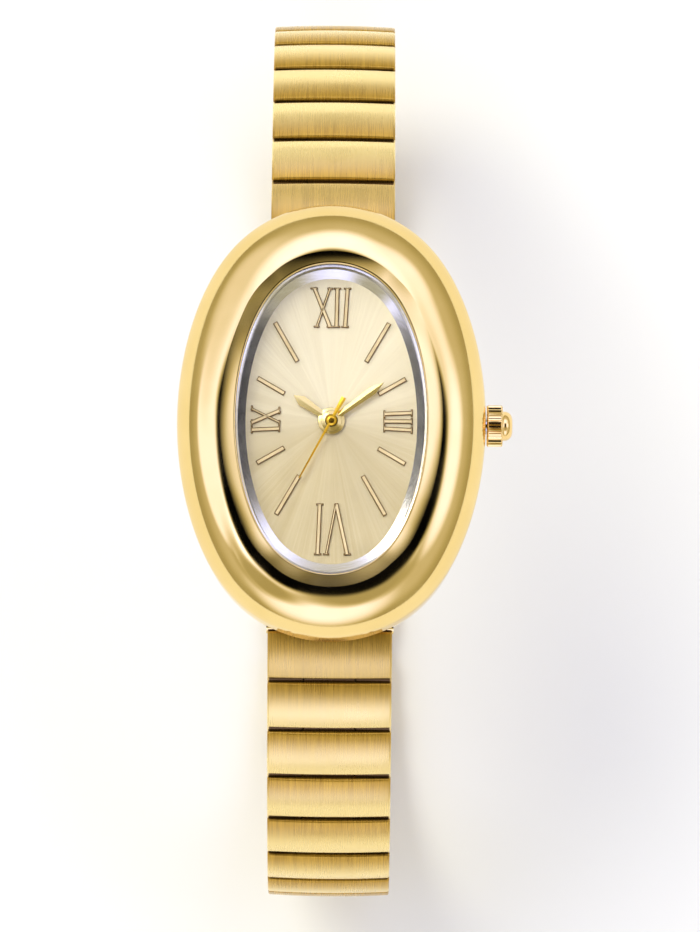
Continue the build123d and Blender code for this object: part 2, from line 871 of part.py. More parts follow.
def second_wheel():
    """Second wheel on the long arbor that carries the second hand."""
    top = train_level(second_wheel_level_share)
    wheel = toothed(second_wheel_teeth, second_wheel_module, top - wheel_thickness, top,
                    tooth_bearing=gap_bearing(second_wheel_teeth, intermediate_bearing))
    pinion_middle = train_level(third_wheel_level_share) - wheel_thickness / 2
    pinion = toothed(second_pinion_teeth, second_module, pinion_middle - pinion_height / 2,
                     pinion_middle + pinion_height / 2, tooth_bearing=third_bearing)
    arbor = disc(arbor_radius, bridge_top - pivot_depth, second_hand_level() + hand_thickness)
    return wheel + pinion + arbor


def third_wheel():
    """Third wheel and its pinion."""
    x, y = third_place()
    module = 2 * math.dist((0, 0), third_place()) / (third_pinion_teeth + centre_wheel_teeth)
    top = train_level(third_wheel_level_share)
    facing = third_bearing + 180
    wheel = toothed(third_wheel_teeth, second_module, top - wheel_thickness, top, x, y,
                    gap_bearing(third_wheel_teeth, facing))
    pinion_top = train_level(third_pinion_level_share)
    pinion = toothed(third_pinion_teeth, module, pinion_top - pinion_height, pinion_top, x, y, facing)
    arbor = disc(arbor_radius, bridge_top - pivot_depth, plate_bottom + pivot_depth, x, y)
    return wheel + pinion + arbor


def intermediate_wheel():
    """Intermediate wheel and its pinion."""
    x, y = intermediate_place()
    top = train_level(intermediate_wheel_level_share)
    wheel = toothed(intermediate_wheel_teeth, intermediate_module, top - wheel_thickness, top, x, y,
                    gap_bearing(intermediate_wheel_teeth, rotor_bearing))
    pinion_middle = train_level(second_wheel_level_share) - wheel_thickness / 2
    pinion = toothed(intermediate_pinion_teeth, second_wheel_module, pinion_middle - pinion_height / 2,
                     pinion_middle + pinion_height / 2, x, y, intermediate_bearing + 180)
    arbor = disc(arbor_radius, bridge_top - pivot_depth, plate_bottom + pivot_depth, x, y)
    return wheel + pinion + arbor


def rotor():
    """Rotor magnet on its pinion's arbor."""
    x, y = rotor_place()
    middle = train_level(stator_level_share) - stator_thickness / 2
    magnet = disc(rotor_radius, middle - rotor_length / 2, middle + rotor_length / 2, x, y)
    wheel_middle = train_level(intermediate_wheel_level_share) - wheel_thickness / 2
    pinion = toothed(rotor_pinion_teeth, intermediate_module, wheel_middle - pinion_height / 2,
                     wheel_middle + pinion_height / 2, x, y, rotor_bearing + 180)
    arbor = disc(arbor_radius, bridge_top - pivot_depth, plate_bottom + pivot_depth, x, y)
    return magnet + pinion + arbor


def minute_wheel():
    """Minute wheel and its pinion, on a stud of the main plate."""
    x, y = minute_wheel_place()
    bore = arbor_radius + pivot_clearance
    middle = dial_underside - motion_space * cannon_level_share - pinion_height / 2
    facing = minute_wheel_bearing + 180
    wheel = toothed(minute_wheel_teeth, motion_module, middle - wheel_thickness / 2,
                    middle + wheel_thickness / 2, x, y, gap_bearing(minute_wheel_teeth, facing))
    pinion_top = dial_underside - motion_space * minute_pinion_level_share
    pinion = toothed(minute_pinion_teeth, motion_module, middle, pinion_top, x, y, facing)
    return wheel + pinion - disc(bore, plate_bottom, dial_underside + overrun, x, y)


def hour_wheel():
    """Hour wheel with its pipe, which carries the hour hand."""
    top = dial_underside - motion_space * hour_wheel_level_share
    wheel = toothed(hour_wheel_teeth, motion_module, top - wheel_thickness, top,
                    tooth_bearing=gap_bearing(hour_wheel_teeth, minute_wheel_bearing))
    wheel += disc(hour_pipe_radius, top - wheel_thickness, hour_hand_level() + hand_thickness)
    return wheel - disc(cannon_pipe_radius + hour_pipe_gap, plate_bottom, dial_top + crystal_seat_height)


# Hands

def hour_hand_level():
    """Underside of the hour hand."""
    return dial_top + hour_hand_height


def minute_hand_level():
    """Underside of the minute hand."""
    return hour_hand_level() + hand_thickness + hand_spacing


def second_hand_level():
    """Underside of the second hand."""
    return minute_hand_level() + hand_thickness + hand_spacing


def hand_blade(length, width, level):
    """Pointed blade along +X, widest at its shoulder."""
    base = width * hand_base_share / 2
    shoulder = length * hand_shoulder_share
    outline = Polyline((0, -base), (shoulder, -width / 2), (length, 0), (shoulder, width / 2), (0, base),
                       close=True)
    return Pos(0, 0, level) * extrude(make_face(outline), hand_thickness)


def hour_hand():
    """Hour hand with its round hub."""
    level = hour_hand_level()
    hand = hand_blade(hour_hand_length, hour_hand_width, level)
    hand += disc(hour_hub_radius, level, level + hand_thickness + hub_extra)
    hand -= disc(hour_pipe_radius + hub_clearance, level - overrun, level + overrun)
    return Rot(0, 0, 90 + hour_hand_bearing) * hand


def minute_hand():
    """Minute hand with its round hub."""
    level = minute_hand_level()
    hand = hand_blade(minute_hand_length, minute_hand_width, level)
    hand += disc(minute_hub_radius, level, level + hand_thickness + hub_extra)
    hand -= disc(cannon_pipe_radius + hub_clearance, level - overrun, level + overrun)
    return Rot(0, 0, 90 + minute_hand_bearing) * hand


def second_hand():
    """Second hand with its tail and hub."""
    level = second_hand_level()
    half = second_hand_width / 2
    tail = second_tail_width / 2
    tip = half * hand_base_share
    outline = Polyline((-second_tail_length, -tail), (0, -half), (second_hand_length, -tip),
                       (second_hand_length, tip), (0, half), (-second_tail_length, tail), close=True)
    hand = Pos(0, 0, level) * extrude(make_face(outline), hand_thickness)
    hand += disc(second_hub_radius, level, level + hand_thickness + hub_extra)
    hand -= disc(arbor_radius + hub_clearance, level - overrun, level + overrun)
    return Rot(0, 0, 90 + second_hand_bearing) * hand


# Crown

def crown_tube():
    """Tube pressed into the case wall."""
    end = crown_start + crown_bore_depth - stem_clearance
    tube = rod(tube_radius, cavity_half_width + holder_clearance, end, 0, crown_height)
    return tube - rod(tube_radius - tube_wall, cavity_half_width - overrun, end + overrun, 0, crown_height)


def crown():
    """Knurled crown with a domed cap."""
    step = 360 / crown_ridges
    points = []
    for ridge in range(crown_ridges):
        points.append(polar(crown_radius - crown_ridge_depth, step * ridge))
        points.append(polar(crown_radius, step * (ridge + crown_ridge_start_share)))
        points.append(polar(crown_radius, step * (ridge + crown_ridge_end_share)))
    rim = extrude(make_face(Polyline(*points, close=True)), crown_length)
    cap = disc(crown_cap_radius, crown_length, crown_length + crown_cap_length)
    cap = fillet(cap.edges().group_by(Axis.Z)[-1], crown_cap_round_share * crown_cap_length)
    body = rim + cap
    body -= disc(tube_radius + tube_clearance, -overrun, crown_bore_depth)
    body -= disc(stem_radius + hub_clearance, -overrun, crown_bore_depth + stem_screwed_length)
    return Pos(crown_start, 0, crown_height) * Rot(0, 90, 0) * body


def crown_stem():
    """Stem from the crown into the movement, with a neck for the setting lever."""
    end = crown_start + crown_bore_depth + stem_screwed_length - hub_clearance
    stem = rod(stem_radius, stem_inner_end, end, 0, crown_height)
    neck_end = stem_neck_position + stem_neck_length
    neck = rod(stem_radius + overrun, stem_neck_position, neck_end, 0, crown_height)
    neck -= rod(stem_neck_radius, stem_neck_position - overrun, neck_end + overrun, 0, crown_height)
    return stem - neck


def setting_lever():
    """Forked lever that rides in the stem's neck and moves with the crown's pull."""
    start = stem_neck_position + lever_clearance
    half = lever_width / 2
    top = plate_bottom + stem_radius
    lever = block((start, start + lever_thickness), (-half, half),
                  (max(crown_height - lever_length, bridge_top + lever_clearance), top))
    slot = stem_neck_radius + lever_clearance
    lever -= rod(slot, start - overrun, start + overrun, 0, crown_height)
    lever -= block((start - overrun, start + overrun), (-slot, slot), (crown_height, top + overrun))
    return lever


# Bracelet

def link_body():
    """Half-round bar from one pin's gap to the next, slightly crowned across."""
    gap = link_gap / 2
    edge = link_crest - link_edge_drop
    flank = -link_underside_chamfer
    profile = make_face([
        ThreePointArc((gap, edge), (link_pitch / 2, link_crest), (link_pitch - gap, edge)),
        Line((link_pitch - gap, edge), (link_pitch - gap, flank)),
        Line((link_pitch - gap, flank), (link_pitch - gap - link_underside_chamfer, -link_underside)),
        Line((link_pitch - gap - link_underside_chamfer, -link_underside),
             (gap + link_underside_chamfer, -link_underside)),
        Line((gap + link_underside_chamfer, -link_underside), (gap, flank)),
        Line((gap, flank), (gap, edge)),
    ])
    half = bracelet_width / 2
    crown_radius_across = (half**2 + link_crown**2) / (2 * link_crown)
    axis = Axis((0, 0, link_crest - crown_radius_across), (0, 1, 0))
    swing = math.degrees(math.asin(half / crown_radius_across)) + angle_overrun
    upright = Plane.YZ * profile
    bar = revolve(upright, axis, swing) + revolve(upright, axis, -swing)
    return bar & block((-half, half), (0, link_pitch), (-link_underside - link_crest, link_crest + overrun))


def knuckle(x_span, centre, towards):
    """Round knuckle on a pin with a web that runs into the link's body."""
    piece = rod(knuckle_radius, x_span[0], x_span[1], centre, 0)
    ends = sorted((centre, centre + towards * (knuckle_radius + knuckle_clearance + link_gap)))
    return piece + block(x_span, ends, (-knuckle_radius, knuckle_radius))


def head_knuckle(body):
    """Clear the neighbour's ears at the head pin and add the tongue that turns on it."""
    half = bracelet_width / 2
    inner = tongue_width / 2
    pocket = knuckle_radius + knuckle_clearance
    for hand in (1, -1):
        x_span = sorted((hand * inner, hand * (half + overrun)))
        body -= rod(pocket, x_span[0], x_span[1], 0, 0)
    body += knuckle((-inner, inner), 0, 1)
    return body - rod(pin_radius + pin_running_clearance, -half - overrun, half + overrun, 0, 0)


def tail_knuckles(body):
    """Clear the neighbour's tongue at the tail pin and add the pair of ears around it."""
    half = bracelet_width / 2
    inner = tongue_width / 2 + knuckle_side_gap
    pocket = knuckle_radius + knuckle_clearance
    body -= rod(pocket, -inner, inner, link_pitch, 0)
    for hand in (1, -1):
        x_span = sorted((hand * inner, hand * half))
        body += knuckle(x_span, link_pitch, -1)
    return body - rod(pin_radius + pin_press_clearance, -half - overrun, half + overrun, link_pitch, 0)


def link():
    """One link and the pin in its tail."""
    half = bracelet_width / 2 - pin_recess
    body = tail_knuckles(head_knuckle(link_body()))
    return [body, rod(pin_radius, -half, half, link_pitch, 0)]


def placed(shape, side, index):
    """Move a shape from its own pin's frame to place number index on one side."""
    y, z = pins()[index]
    angle = (link_angles() + [180 * clasp_angle_share])[index]
    turned = Pos(0, y, z) * Rot(-angle, 0, 0) * shape
    if side < 0:
        return Rot(0, 0, 180) * turned
    return turned


# Clasp

def clasp_plate():
    """Flat end plate with a shoulder like a link, on the last pin."""
    half = clasp_plate_width / 2
    start = link_gap / 2
    plate = block((-half, half), (start, clasp_half_length), (-clasp_plate_bottom, clasp_plate_top))
    half_link = bracelet_width / 2
    edge = link_crest - link_edge_drop
    profile = make_face([
        Line((start, -clasp_plate_bottom), (start, edge)),
        ThreePointArc((start, edge), (clasp_shoulder_length / 2, link_crest),
                      (clasp_shoulder_length, edge)),
        Line((clasp_shoulder_length, edge), (clasp_shoulder_length, -clasp_plate_bottom)),
        Line((clasp_shoulder_length, -clasp_plate_bottom), (start, -clasp_plate_bottom)),
    ])
    shoulder = Pos(-half_link, 0, 0) * extrude(Plane.YZ * profile, bracelet_width)
    return head_knuckle(plate + shoulder)


def clasp_base():
    """End plate of the 12 o'clock side, with the pin that the cover turns on."""
    half = bracelet_width / 2 - pin_recess
    plate = clasp_plate()
    plate -= rod(pin_radius + pin_press_clearance, -half - overrun, half + overrun,
                 cover_hinge_setback, cover_hinge_height())
    pin = rod(pin_radius, -half, half, cover_hinge_setback, cover_hinge_height())
    return [plate, pin]


def cover_hinge_height():
    """Height of the cover's hinge pin in the plate's own frame."""
    return (clasp_plate_top - clasp_plate_bottom) / 2


def ladder_plate():
    """End plate of the 6 o'clock side, with adjusting slots and the catch stud."""
    plate = clasp_plate()
    for rung in range(rung_count):
        start = rung_start_setback + rung * rung_spacing
        plate -= block((-rung_slot_width / 2, rung_slot_width / 2), (start, start + rung_slot_length),
                       (-clasp_plate_bottom - overrun, clasp_plate_top + overrun))
    return plate + disc(stud_radius, 0, clasp_plate_top + stud_height, 0, stud_setback)


def clasp_cover():
    """Cover that folds over both end plates; drawn in the base plate's own frame."""
    half = bracelet_width / 2
    inner = clasp_plate_width / 2 + cover_wall_gap
    low = clasp_plate_top + cover_gap
    top = low + cover_thickness
    pin_height = cover_hinge_height()
    span = 2 * pins()[-1][0]
    start = cover_hinge_setback + cover_start
    end = span - cover_end_setback
    cover = block((-half, half), (start, end), (low, top))
    for hand in (1, -1):
        x_span = sorted((hand * inner, hand * half))
        cover += block(x_span, (start, end), (pin_height - cover_wall_reach, low + cover_gap))
        cheek = block(x_span, (cover_hinge_setback, start + cover_start),
                      (pin_height - cover_knuckle_radius, pin_height + cover_knuckle_radius))
        cheek += rod(cover_knuckle_radius, x_span[0], x_span[1], cover_hinge_setback, pin_height)
        cover += cheek
    cover -= rod(pin_radius + pin_running_clearance, -half - overrun, half + overrun,
                 cover_hinge_setback, pin_height)
    stud_y = span - stud_setback
    window = stud_radius + window_side_gap
    window_span = (stud_y - window, stud_y + stud_radius + window_slack)
    cover -= block((-window, window), window_span, (low - overrun, top + overrun))
    return cover


def lying(shape, side):
    """Move a shape from the last pin's frame to its place on the floor."""
    return placed(shape, side, len(link_angle_shares))


def write(name, shapes):
    """Write one node from one solid or a list of solids."""
    solids = shapes if isinstance(shapes, list) else [shapes]
    group = solids[0] if len(solids) == 1 else Compound(children=[
        solid for shape in solids for solid in shape.solids()])
    export_step(group, os.path.join("parts", name + ".step"))


def main():
    """Build every node and write it."""
    os.makedirs("parts", exist_ok=True)
    nodes = {
        "case_body": case_body(), "bezel": bezel(), "crystal": crystal(), "dial_ring": dial_ring(),
        "dial": dial(), "hour_markers": hour_markers(), "caseback": caseback(),
        "caseback_gasket": gasket_ring(), "spring_bars": spring_bars(),
        "movement_holder": movement_holder(), "main_plate": main_plate(),
        "train_bridge": train_bridge(), "movement_screws": movement_screws(),
        "battery": battery(), "stator": stator(), "coil": coil(), "circuit_board": circuit_board(),
        "centre_wheel": centre_wheel(), "second_wheel": second_wheel(), "third_wheel": third_wheel(),
        "intermediate_wheel": intermediate_wheel(), "rotor": rotor(), "minute_wheel": minute_wheel(),
        "hour_wheel": hour_wheel(), "hour_hand": hour_hand(), "minute_hand": minute_hand(),
        "second_hand": second_hand(), "crown_tube": crown_tube(), "crown": crown(),
        "crown_stem": crown_stem(), "setting_lever": setting_lever(),
        "clasp_base": [lying(piece, 1) for piece in clasp_base()],
        "clasp_cover": lying(clasp_cover(), 1), "ladder_plate": lying(ladder_plate(), -1),
    }
    pair = link()
    for side, name in ((1, "upper"), (-1, "lower")):
        for index in range(len(link_angle_shares)):
            nodes[f"{name}_link_{index + 1:02d}"] = [placed(piece, side, index) for piece in pair]
    for name, shapes in nodes.items():
        write(name, shapes)


if __name__ == "__main__":
    main()
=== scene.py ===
"""Looks of an oval wristwatch on a link bracelet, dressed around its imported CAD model.

Sizes in the classes are millimetres. Blender's own lengths are metres, so every mesh is
built in millimetres and scaled by MM when it becomes an object. +Z points out of the dial,
+Y to 12 o'clock and +X to the crown.
"""

import logging
import math
from dataclasses import astuple, dataclass, field
from enum import Enum
from functools import cached_property
from typing import Callable, Iterable, Optional, Sequence

import bmesh
import bpy
from mathutils import Matrix, Vector

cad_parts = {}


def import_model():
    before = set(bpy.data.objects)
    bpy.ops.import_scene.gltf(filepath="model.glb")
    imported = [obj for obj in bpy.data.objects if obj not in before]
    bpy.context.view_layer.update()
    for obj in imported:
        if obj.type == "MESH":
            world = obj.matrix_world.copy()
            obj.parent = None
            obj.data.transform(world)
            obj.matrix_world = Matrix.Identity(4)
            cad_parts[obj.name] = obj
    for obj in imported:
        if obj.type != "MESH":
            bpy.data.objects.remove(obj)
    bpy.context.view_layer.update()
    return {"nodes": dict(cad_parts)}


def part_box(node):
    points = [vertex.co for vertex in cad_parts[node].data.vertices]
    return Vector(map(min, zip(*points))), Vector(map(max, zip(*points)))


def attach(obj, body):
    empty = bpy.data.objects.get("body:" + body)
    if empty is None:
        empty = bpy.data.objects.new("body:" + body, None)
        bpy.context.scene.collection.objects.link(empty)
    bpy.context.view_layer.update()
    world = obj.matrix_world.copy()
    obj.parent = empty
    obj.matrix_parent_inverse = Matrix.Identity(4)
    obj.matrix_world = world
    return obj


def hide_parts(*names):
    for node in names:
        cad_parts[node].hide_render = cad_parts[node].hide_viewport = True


MM = 0.001
CREASE = 40.0
ROD_STEPS = 48
LINK_PLACE = "link_place"
# Attribute that scales a link's painted sheen.
LINK_PAINTED_SHEEN = "link_painted_sheen"
LOG = logging.getLogger("wristwatch")

Point = tuple[float, float, float]
Flat = tuple[float, float]
Colour = tuple[float, float, float]
Feed = bpy.types.NodeSocket | float


class Slot(str, Enum):
    """Material slots of the record."""

    POLISHED_GOLD = "polished_gold"
    SATIN_GOLD = "satin_gold"
    CROWN_GOLD = "crown_gold"
    HAND_GOLD = "hand_gold"
    SILVER_RING = "silver_ring"
    CRYSTAL = "crystal"


class Grain(Enum):
    """How a surface was finished."""

    POLISHED = "polished"
    ALONG = "brushed along"
    CIRCULAR = "brushed in circles"
    SUNBURST = "brushed from the middle"
    MATT = "matt"


def box_mm(node: str) -> tuple[Vector, Vector]:
    """A CAD node's lowest and highest corner at rest, in millimetres."""
    low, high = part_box(node)
    return Vector(low) / MM, Vector(high) / MM


def eased(share: float) -> float:
    """Share from 0 to 1 that starts and ends slowly."""
    return share * share * (3.0 - 2.0 * share)


# Nodes of a material

class Sheet:
    """A short way to lay nodes in one node tree."""

    def __init__(self, tree: bpy.types.NodeTree) -> None:
        """Remember the tree.

        Args:
            tree: node tree of a material, a world or a group.
        """
        self.tree = tree

    def add(self, kind: str, feeds: Optional[dict] = None, **settings) -> bpy.types.Node:
        """Add a node.

        Args:
            kind: Blender's name of the node type.
            feeds: socket name or number to a value or to another node's output.
            settings: the node's own properties.

        Returns:
            The new node.
        """
        node = self.tree.nodes.new(kind)
        for name, value in settings.items():
            setattr(node, name, value)
        for socket, value in (feeds or {}).items():
            if isinstance(value, bpy.types.NodeSocket):
                self.tree.links.new(value, node.inputs[socket])
            else:
                node.inputs[socket].default_value = value
        return node

    def link(self, node: bpy.types.Node, feeds: dict[str, bpy.types.NodeSocket]) -> None:
        """Link outputs to the named inputs of a node that is there already."""
        for name, socket in feeds.items():
            self.tree.links.new(socket, node.inputs[name])

    def math(self, operation: str, *values: Feed) -> bpy.types.NodeSocket:
        """Result of a Math node on one to three values or sockets."""
        return self.add("ShaderNodeMath", dict(enumerate(values)), operation=operation).outputs[0]

    def noise(self, place: bpy.types.NodeSocket, scale: Feed, detail: float,
              seed: Optional[bpy.types.NodeSocket] = None) -> bpy.types.NodeSocket:
        """Value of a noise texture.

        Args:
            place: where on the surface.
            scale: how fine it is.
            detail: how many finer layers it has.
            seed: shifts the whole pattern, where it is given.

        Returns:
            The noise, about 0.5 on average.
        """
        feeds = {"Vector": place, "Scale": scale, "Detail": detail}
        if seed is None:
            return self.add("ShaderNodeTexNoise", feeds).outputs[0]
        feeds["W"] = seed
        return self.add("ShaderNodeTexNoise", feeds, noise_dimensions="4D").outputs[0]

    def weighed(self, first: Feed, share: float, second: Feed) -> bpy.types.NodeSocket:
        """Mean of two values, with the first one's share."""
        return self.math("ADD", self.math("MULTIPLY", first, share),
                         self.math("MULTIPLY", second, 1.0 - share))

    def span(self, value: Feed, low: float, high: float, to_low: float = 0.0,
             to_high: float = 1.0, smooth: bool = True) -> bpy.types.NodeSocket:
        """Map a value from one range to another.

        Args:
            value: socket to map.
            low: value that gives to_low.
            high: value that gives to_high.
            to_low: result at low.
            to_high: result at high.
            smooth: ease in and out of the range.

        Returns:
            The mapped value.
        """
        feeds = {"Value": value, "From Min": low, "From Max": high, "To Min": to_low, "To Max": to_high}
        kind = "SMOOTHSTEP" if smooth else "LINEAR"
        return self.add("ShaderNodeMapRange", feeds, interpolation_type=kind).outputs["Result"]

    def blend(self, factor: Feed, first: Colour | bpy.types.NodeSocket,
              second: Colour | bpy.types.NodeSocket) -> bpy.types.NodeSocket:
        """Colour between two colours.

        Args:
            factor: share of the second colour.
            first: colour or socket at 0.
            second: colour or socket at 1.

        Returns:
            The mixed colour.
        """
        node = self.add("ShaderNodeMix", data_type="RGBA")
        for socket, value in ((0, factor), (6, first), (7, second)):
            if isinstance(value, bpy.types.NodeSocket):
                self.tree.links.new(value, node.inputs[socket])
            elif socket:
                node.inputs[socket].default_value = (*value, 1.0)
            else:
                node.inputs[socket].default_value = value
        return node.outputs[2]


def blank_material(name: str) -> tuple[bpy.types.Material, Sheet]:
    """Make a material with no nodes, and the sheet to lay them on."""
    material = bpy.data.materials.new(name)
    material.use_nodes = True
    material.node_tree.nodes.clear()
    return material, Sheet(material.node_tree)


class GroupShelf:
    """Node groups that more than one material places, each built once.

    reach, recess, middle, gap_start and gap_width are places on a link, in mm: reach is where a
    link's painted sheen rises along it, and the others bound the painted shade low down in the
    gaps between links. The ranges whose names end in tone are noise values that become 0 and 1,
    and the shares weigh fine against broad noise.
    """

    per_mm = 1000.0
    reach = (0.1, 3.1)
    painted_gap_shade = (0.62, 0.92)
    middle = 2.2
    gap_start = (1.75, 1.95)
    gap_width = (4.9, 5.05)
    line_tone = (0.36, 0.64)
    line_share = 0.6
    broad_scale = 0.13
    ray_tone = (0.38, 0.62)
    ray_share = 0.55
    # Range from 6 to 12 o'clock over which the dial's painted light rises.
    upward = (-0.9, 0.9)
    plain_tone = (0.35, 0.65)
    fine_detail = 2.0
    broad_detail = 3.0

    def __init__(self) -> None:
        """Start with no groups."""
        self.made: dict[str, bpy.types.NodeTree] = {}

    def start(self, name: str, takes: dict[str, float | Point],
              gives: Sequence[str]) -> tuple[Sheet, bpy.types.Node, bpy.types.Node]:
        """Start a group with its inputs and outputs.

        Args:
            name: name of the group.
            takes: input name to its default value.
            gives: names of the outputs.

        Returns:
            The sheet, the group's input node and its output node.
        """
        tree = bpy.data.node_groups.new(name, "ShaderNodeTree")
        for label, default in takes.items():
            kind = "NodeSocketVector" if isinstance(default, tuple) else "NodeSocketFloat"
            socket = tree.interface.new_socket(label, in_out="INPUT", socket_type=kind)
            socket.default_value = default
        for label in gives:
            tree.interface.new_socket(label, in_out="OUTPUT", socket_type="NodeSocketFloat")
        sheet = Sheet(tree)
        self.made[name] = tree
        return sheet, sheet.add("NodeGroupInput"), sheet.add("NodeGroupOutput")

    def brushed_along_with_painted_light(self) -> bpy.types.NodeTree:
        """Fine lines along the Y axis of a place, and the masks of a link's painted sheen and shade.

        Returns:
            The group, which gives Height and Tone from 0 to 1, Reach along the place's Y, which places
            a link's painted sheen, and Recess, which is 1 low down in the gaps before and behind and
            places painted shade there.
        """
        name = "brushed_along_with_painted_light"
        if name in self.made:
            return self.made[name]
        takes = {"Place": (0.0, 0.0, 0.0), "Lines per mm": 18.0, "Length per mm": 0.6, "Seed": 0.0}
        sheet, given, result = self.start(name, takes, ("Height", "Tone", "Reach", "Recess"))
        parts = sheet.add("ShaderNodeSeparateXYZ", {0: given.outputs["Place"]})
        # Reach: share of a link's painted sheen, rising from its head pin towards its tail pin.
        reach = sheet.span(parts.outputs["Y"], self.reach[0] * MM, self.reach[1] * MM)
        # Painted shade mask: 1 low down in the gaps between links, and 0 elsewhere.
        low = sheet.span(parts.outputs["Z"], self.painted_gap_shade[0] * MM, self.painted_gap_shade[1] * MM, 1.0, 0.0)
        off = sheet.math("ABSOLUTE", sheet.math("SUBTRACT", parts.outputs["Y"], self.middle * MM))
        out = sheet.math("ABSOLUTE", parts.outputs["X"])
        edge = sheet.span(off, self.gap_start[0] * MM, self.gap_start[1] * MM)
        inside = sheet.span(out, self.gap_width[0] * MM, self.gap_width[1] * MM, 1.0, 0.0)
        painted_gap_shade = sheet.math("MULTIPLY", low, sheet.math("MULTIPLY", edge, inside))
        across = sheet.math("MULTIPLY", given.outputs["Lines per mm"], self.per_mm)
        along = sheet.math("MULTIPLY", given.outputs["Length per mm"], self.per_mm)
        scale = sheet.add("ShaderNodeCombineXYZ", {"X": across, "Y": along, "Z": along}).outputs[0]
        stretched = sheet.add("ShaderNodeVectorMath", {0: given.outputs["Place"], 1: scale},
                              operation="MULTIPLY").outputs[0]
        seed = given.outputs["Seed"]
        fine = sheet.noise(stretched, 1.0, self.fine_detail, seed)
        broad = sheet.noise(stretched, self.broad_scale, self.broad_detail, seed)
        tone = sheet.span(sheet.weighed(fine, self.line_share, broad), *self.line_tone)
        sheet.link(result, {"Height": fine, "Tone": tone, "Reach": reach, "Recess": painted_gap_shade})
        return self.made[name]

    def brushed_round(self) -> bpy.types.NodeTree:
        """Fine lines in circles about the Z axis.

        Returns:
            The group, which gives Height and Tone from 0 to 1.
        """
        name = "brushed_round"
        if name in self.made:
            return self.made[name]
        takes = {"Lines per mm": 14.0}
        sheet, given, result = self.start(name, takes, ("Height", "Tone"))
        place = sheet.add("ShaderNodeTexCoord").outputs["Object"]
        parts = sheet.add("ShaderNodeSeparateXYZ", {0: place})
        across = sheet.math("POWER", parts.outputs["X"], 2.0)
        along = sheet.math("POWER", parts.outputs["Y"], 2.0)
        radius = sheet.math("SQRT", sheet.math("ADD", across, along))
        lines = sheet.math("MULTIPLY", given.outputs["Lines per mm"], self.per_mm)
        rings = sheet.add("ShaderNodeCombineXYZ", {"X": sheet.math("MULTIPLY", radius, lines)}).outputs[0]
        wander = sheet.add("ShaderNodeVectorMath", {0: place, 1: (self.per_mm,) * 3},
                           operation="MULTIPLY").outputs[0]
        spot = sheet.add("ShaderNodeVectorMath", {0: rings, 1: wander}, operation="ADD").outputs[0]
        fine = sheet.noise(spot, 1.0, self.fine_detail)
        sheet.link(result, {"Height": fine, "Tone": sheet.span(fine, *self.plain_tone)})
        return self.made[name]

    def sunburst_with_painted_light(self) -> bpy.types.NodeTree:
        """Fine rays from the Z axis, and a mask for the dial's painted light towards 12 o'clock.

        Returns:
            The group, which gives Height, Tone from 0 to 1, and Upward, which is 1 towards 12 o'clock
            and places the dial's painted light.
        """
        name = "sunburst_with_painted_light"
        if name in self.made:
            return self.made[name]
        takes = {"Rays": 60.0, "Broad rays": 7.0}
        sheet, given, result = self.start(name, takes, ("Height", "Tone", "Upward"))
        place = sheet.add("ShaderNodeTexCoord").outputs["Object"]
        level = sheet.add("ShaderNodeVectorMath", {0: place, 1: (1.0, 1.0, 0.0)},
                          operation="MULTIPLY").outputs[0]
        ray = sheet.add("ShaderNodeVectorMath", {0: level}, operation="NORMALIZE").outputs[0]
        fine = sheet.noise(ray, given.outputs["Rays"], self.broad_detail)
        broad = sheet.noise(ray, given.outputs["Broad rays"], self.fine_detail)
        tone = sheet.span(sheet.weighed(fine, self.ray_share, broad), *self.ray_tone)
        north = sheet.add("ShaderNodeSeparateXYZ", {0: ray}).outputs["Y"]
        # Upward: mask of the dial's painted light, 0 towards 6 o'clock and 1 towards 12 o'clock.
        upward = sheet.span(north, *self.upward)
        sheet.link(result, {"Height": fine, "Tone": tone, "Upward": upward})
        return self.made[name]

    def handling(self) -> bpy.types.NodeTree:
        """Faint clouds and fine specks that every used surface carries.

        Returns:
            The group, which gives Cloud and Speck from 0 to 1, and Height.
        """
        name = "handling"
        if name in self.made:
            return self.made[name]
        takes = {"Clouds per mm": 0.25, "Specks per mm": 9.0}
        sheet, given, result = self.start(name, takes, ("Cloud", "Speck", "Height"))
        place = sheet.add("ShaderNodeTexCoord").outputs["Object"]
        cloud, speck = (
            sheet.noise(place, sheet.math("MULTIPLY", given.outputs[name], self.per_mm), self.fine_detail)
            for name in takes)
        sheet.link(result, {"Cloud": sheet.span(cloud, *self.plain_tone),
                            "Speck": sheet.span(speck, *self.plain_tone), "Height": speck})
        return self.made[name]


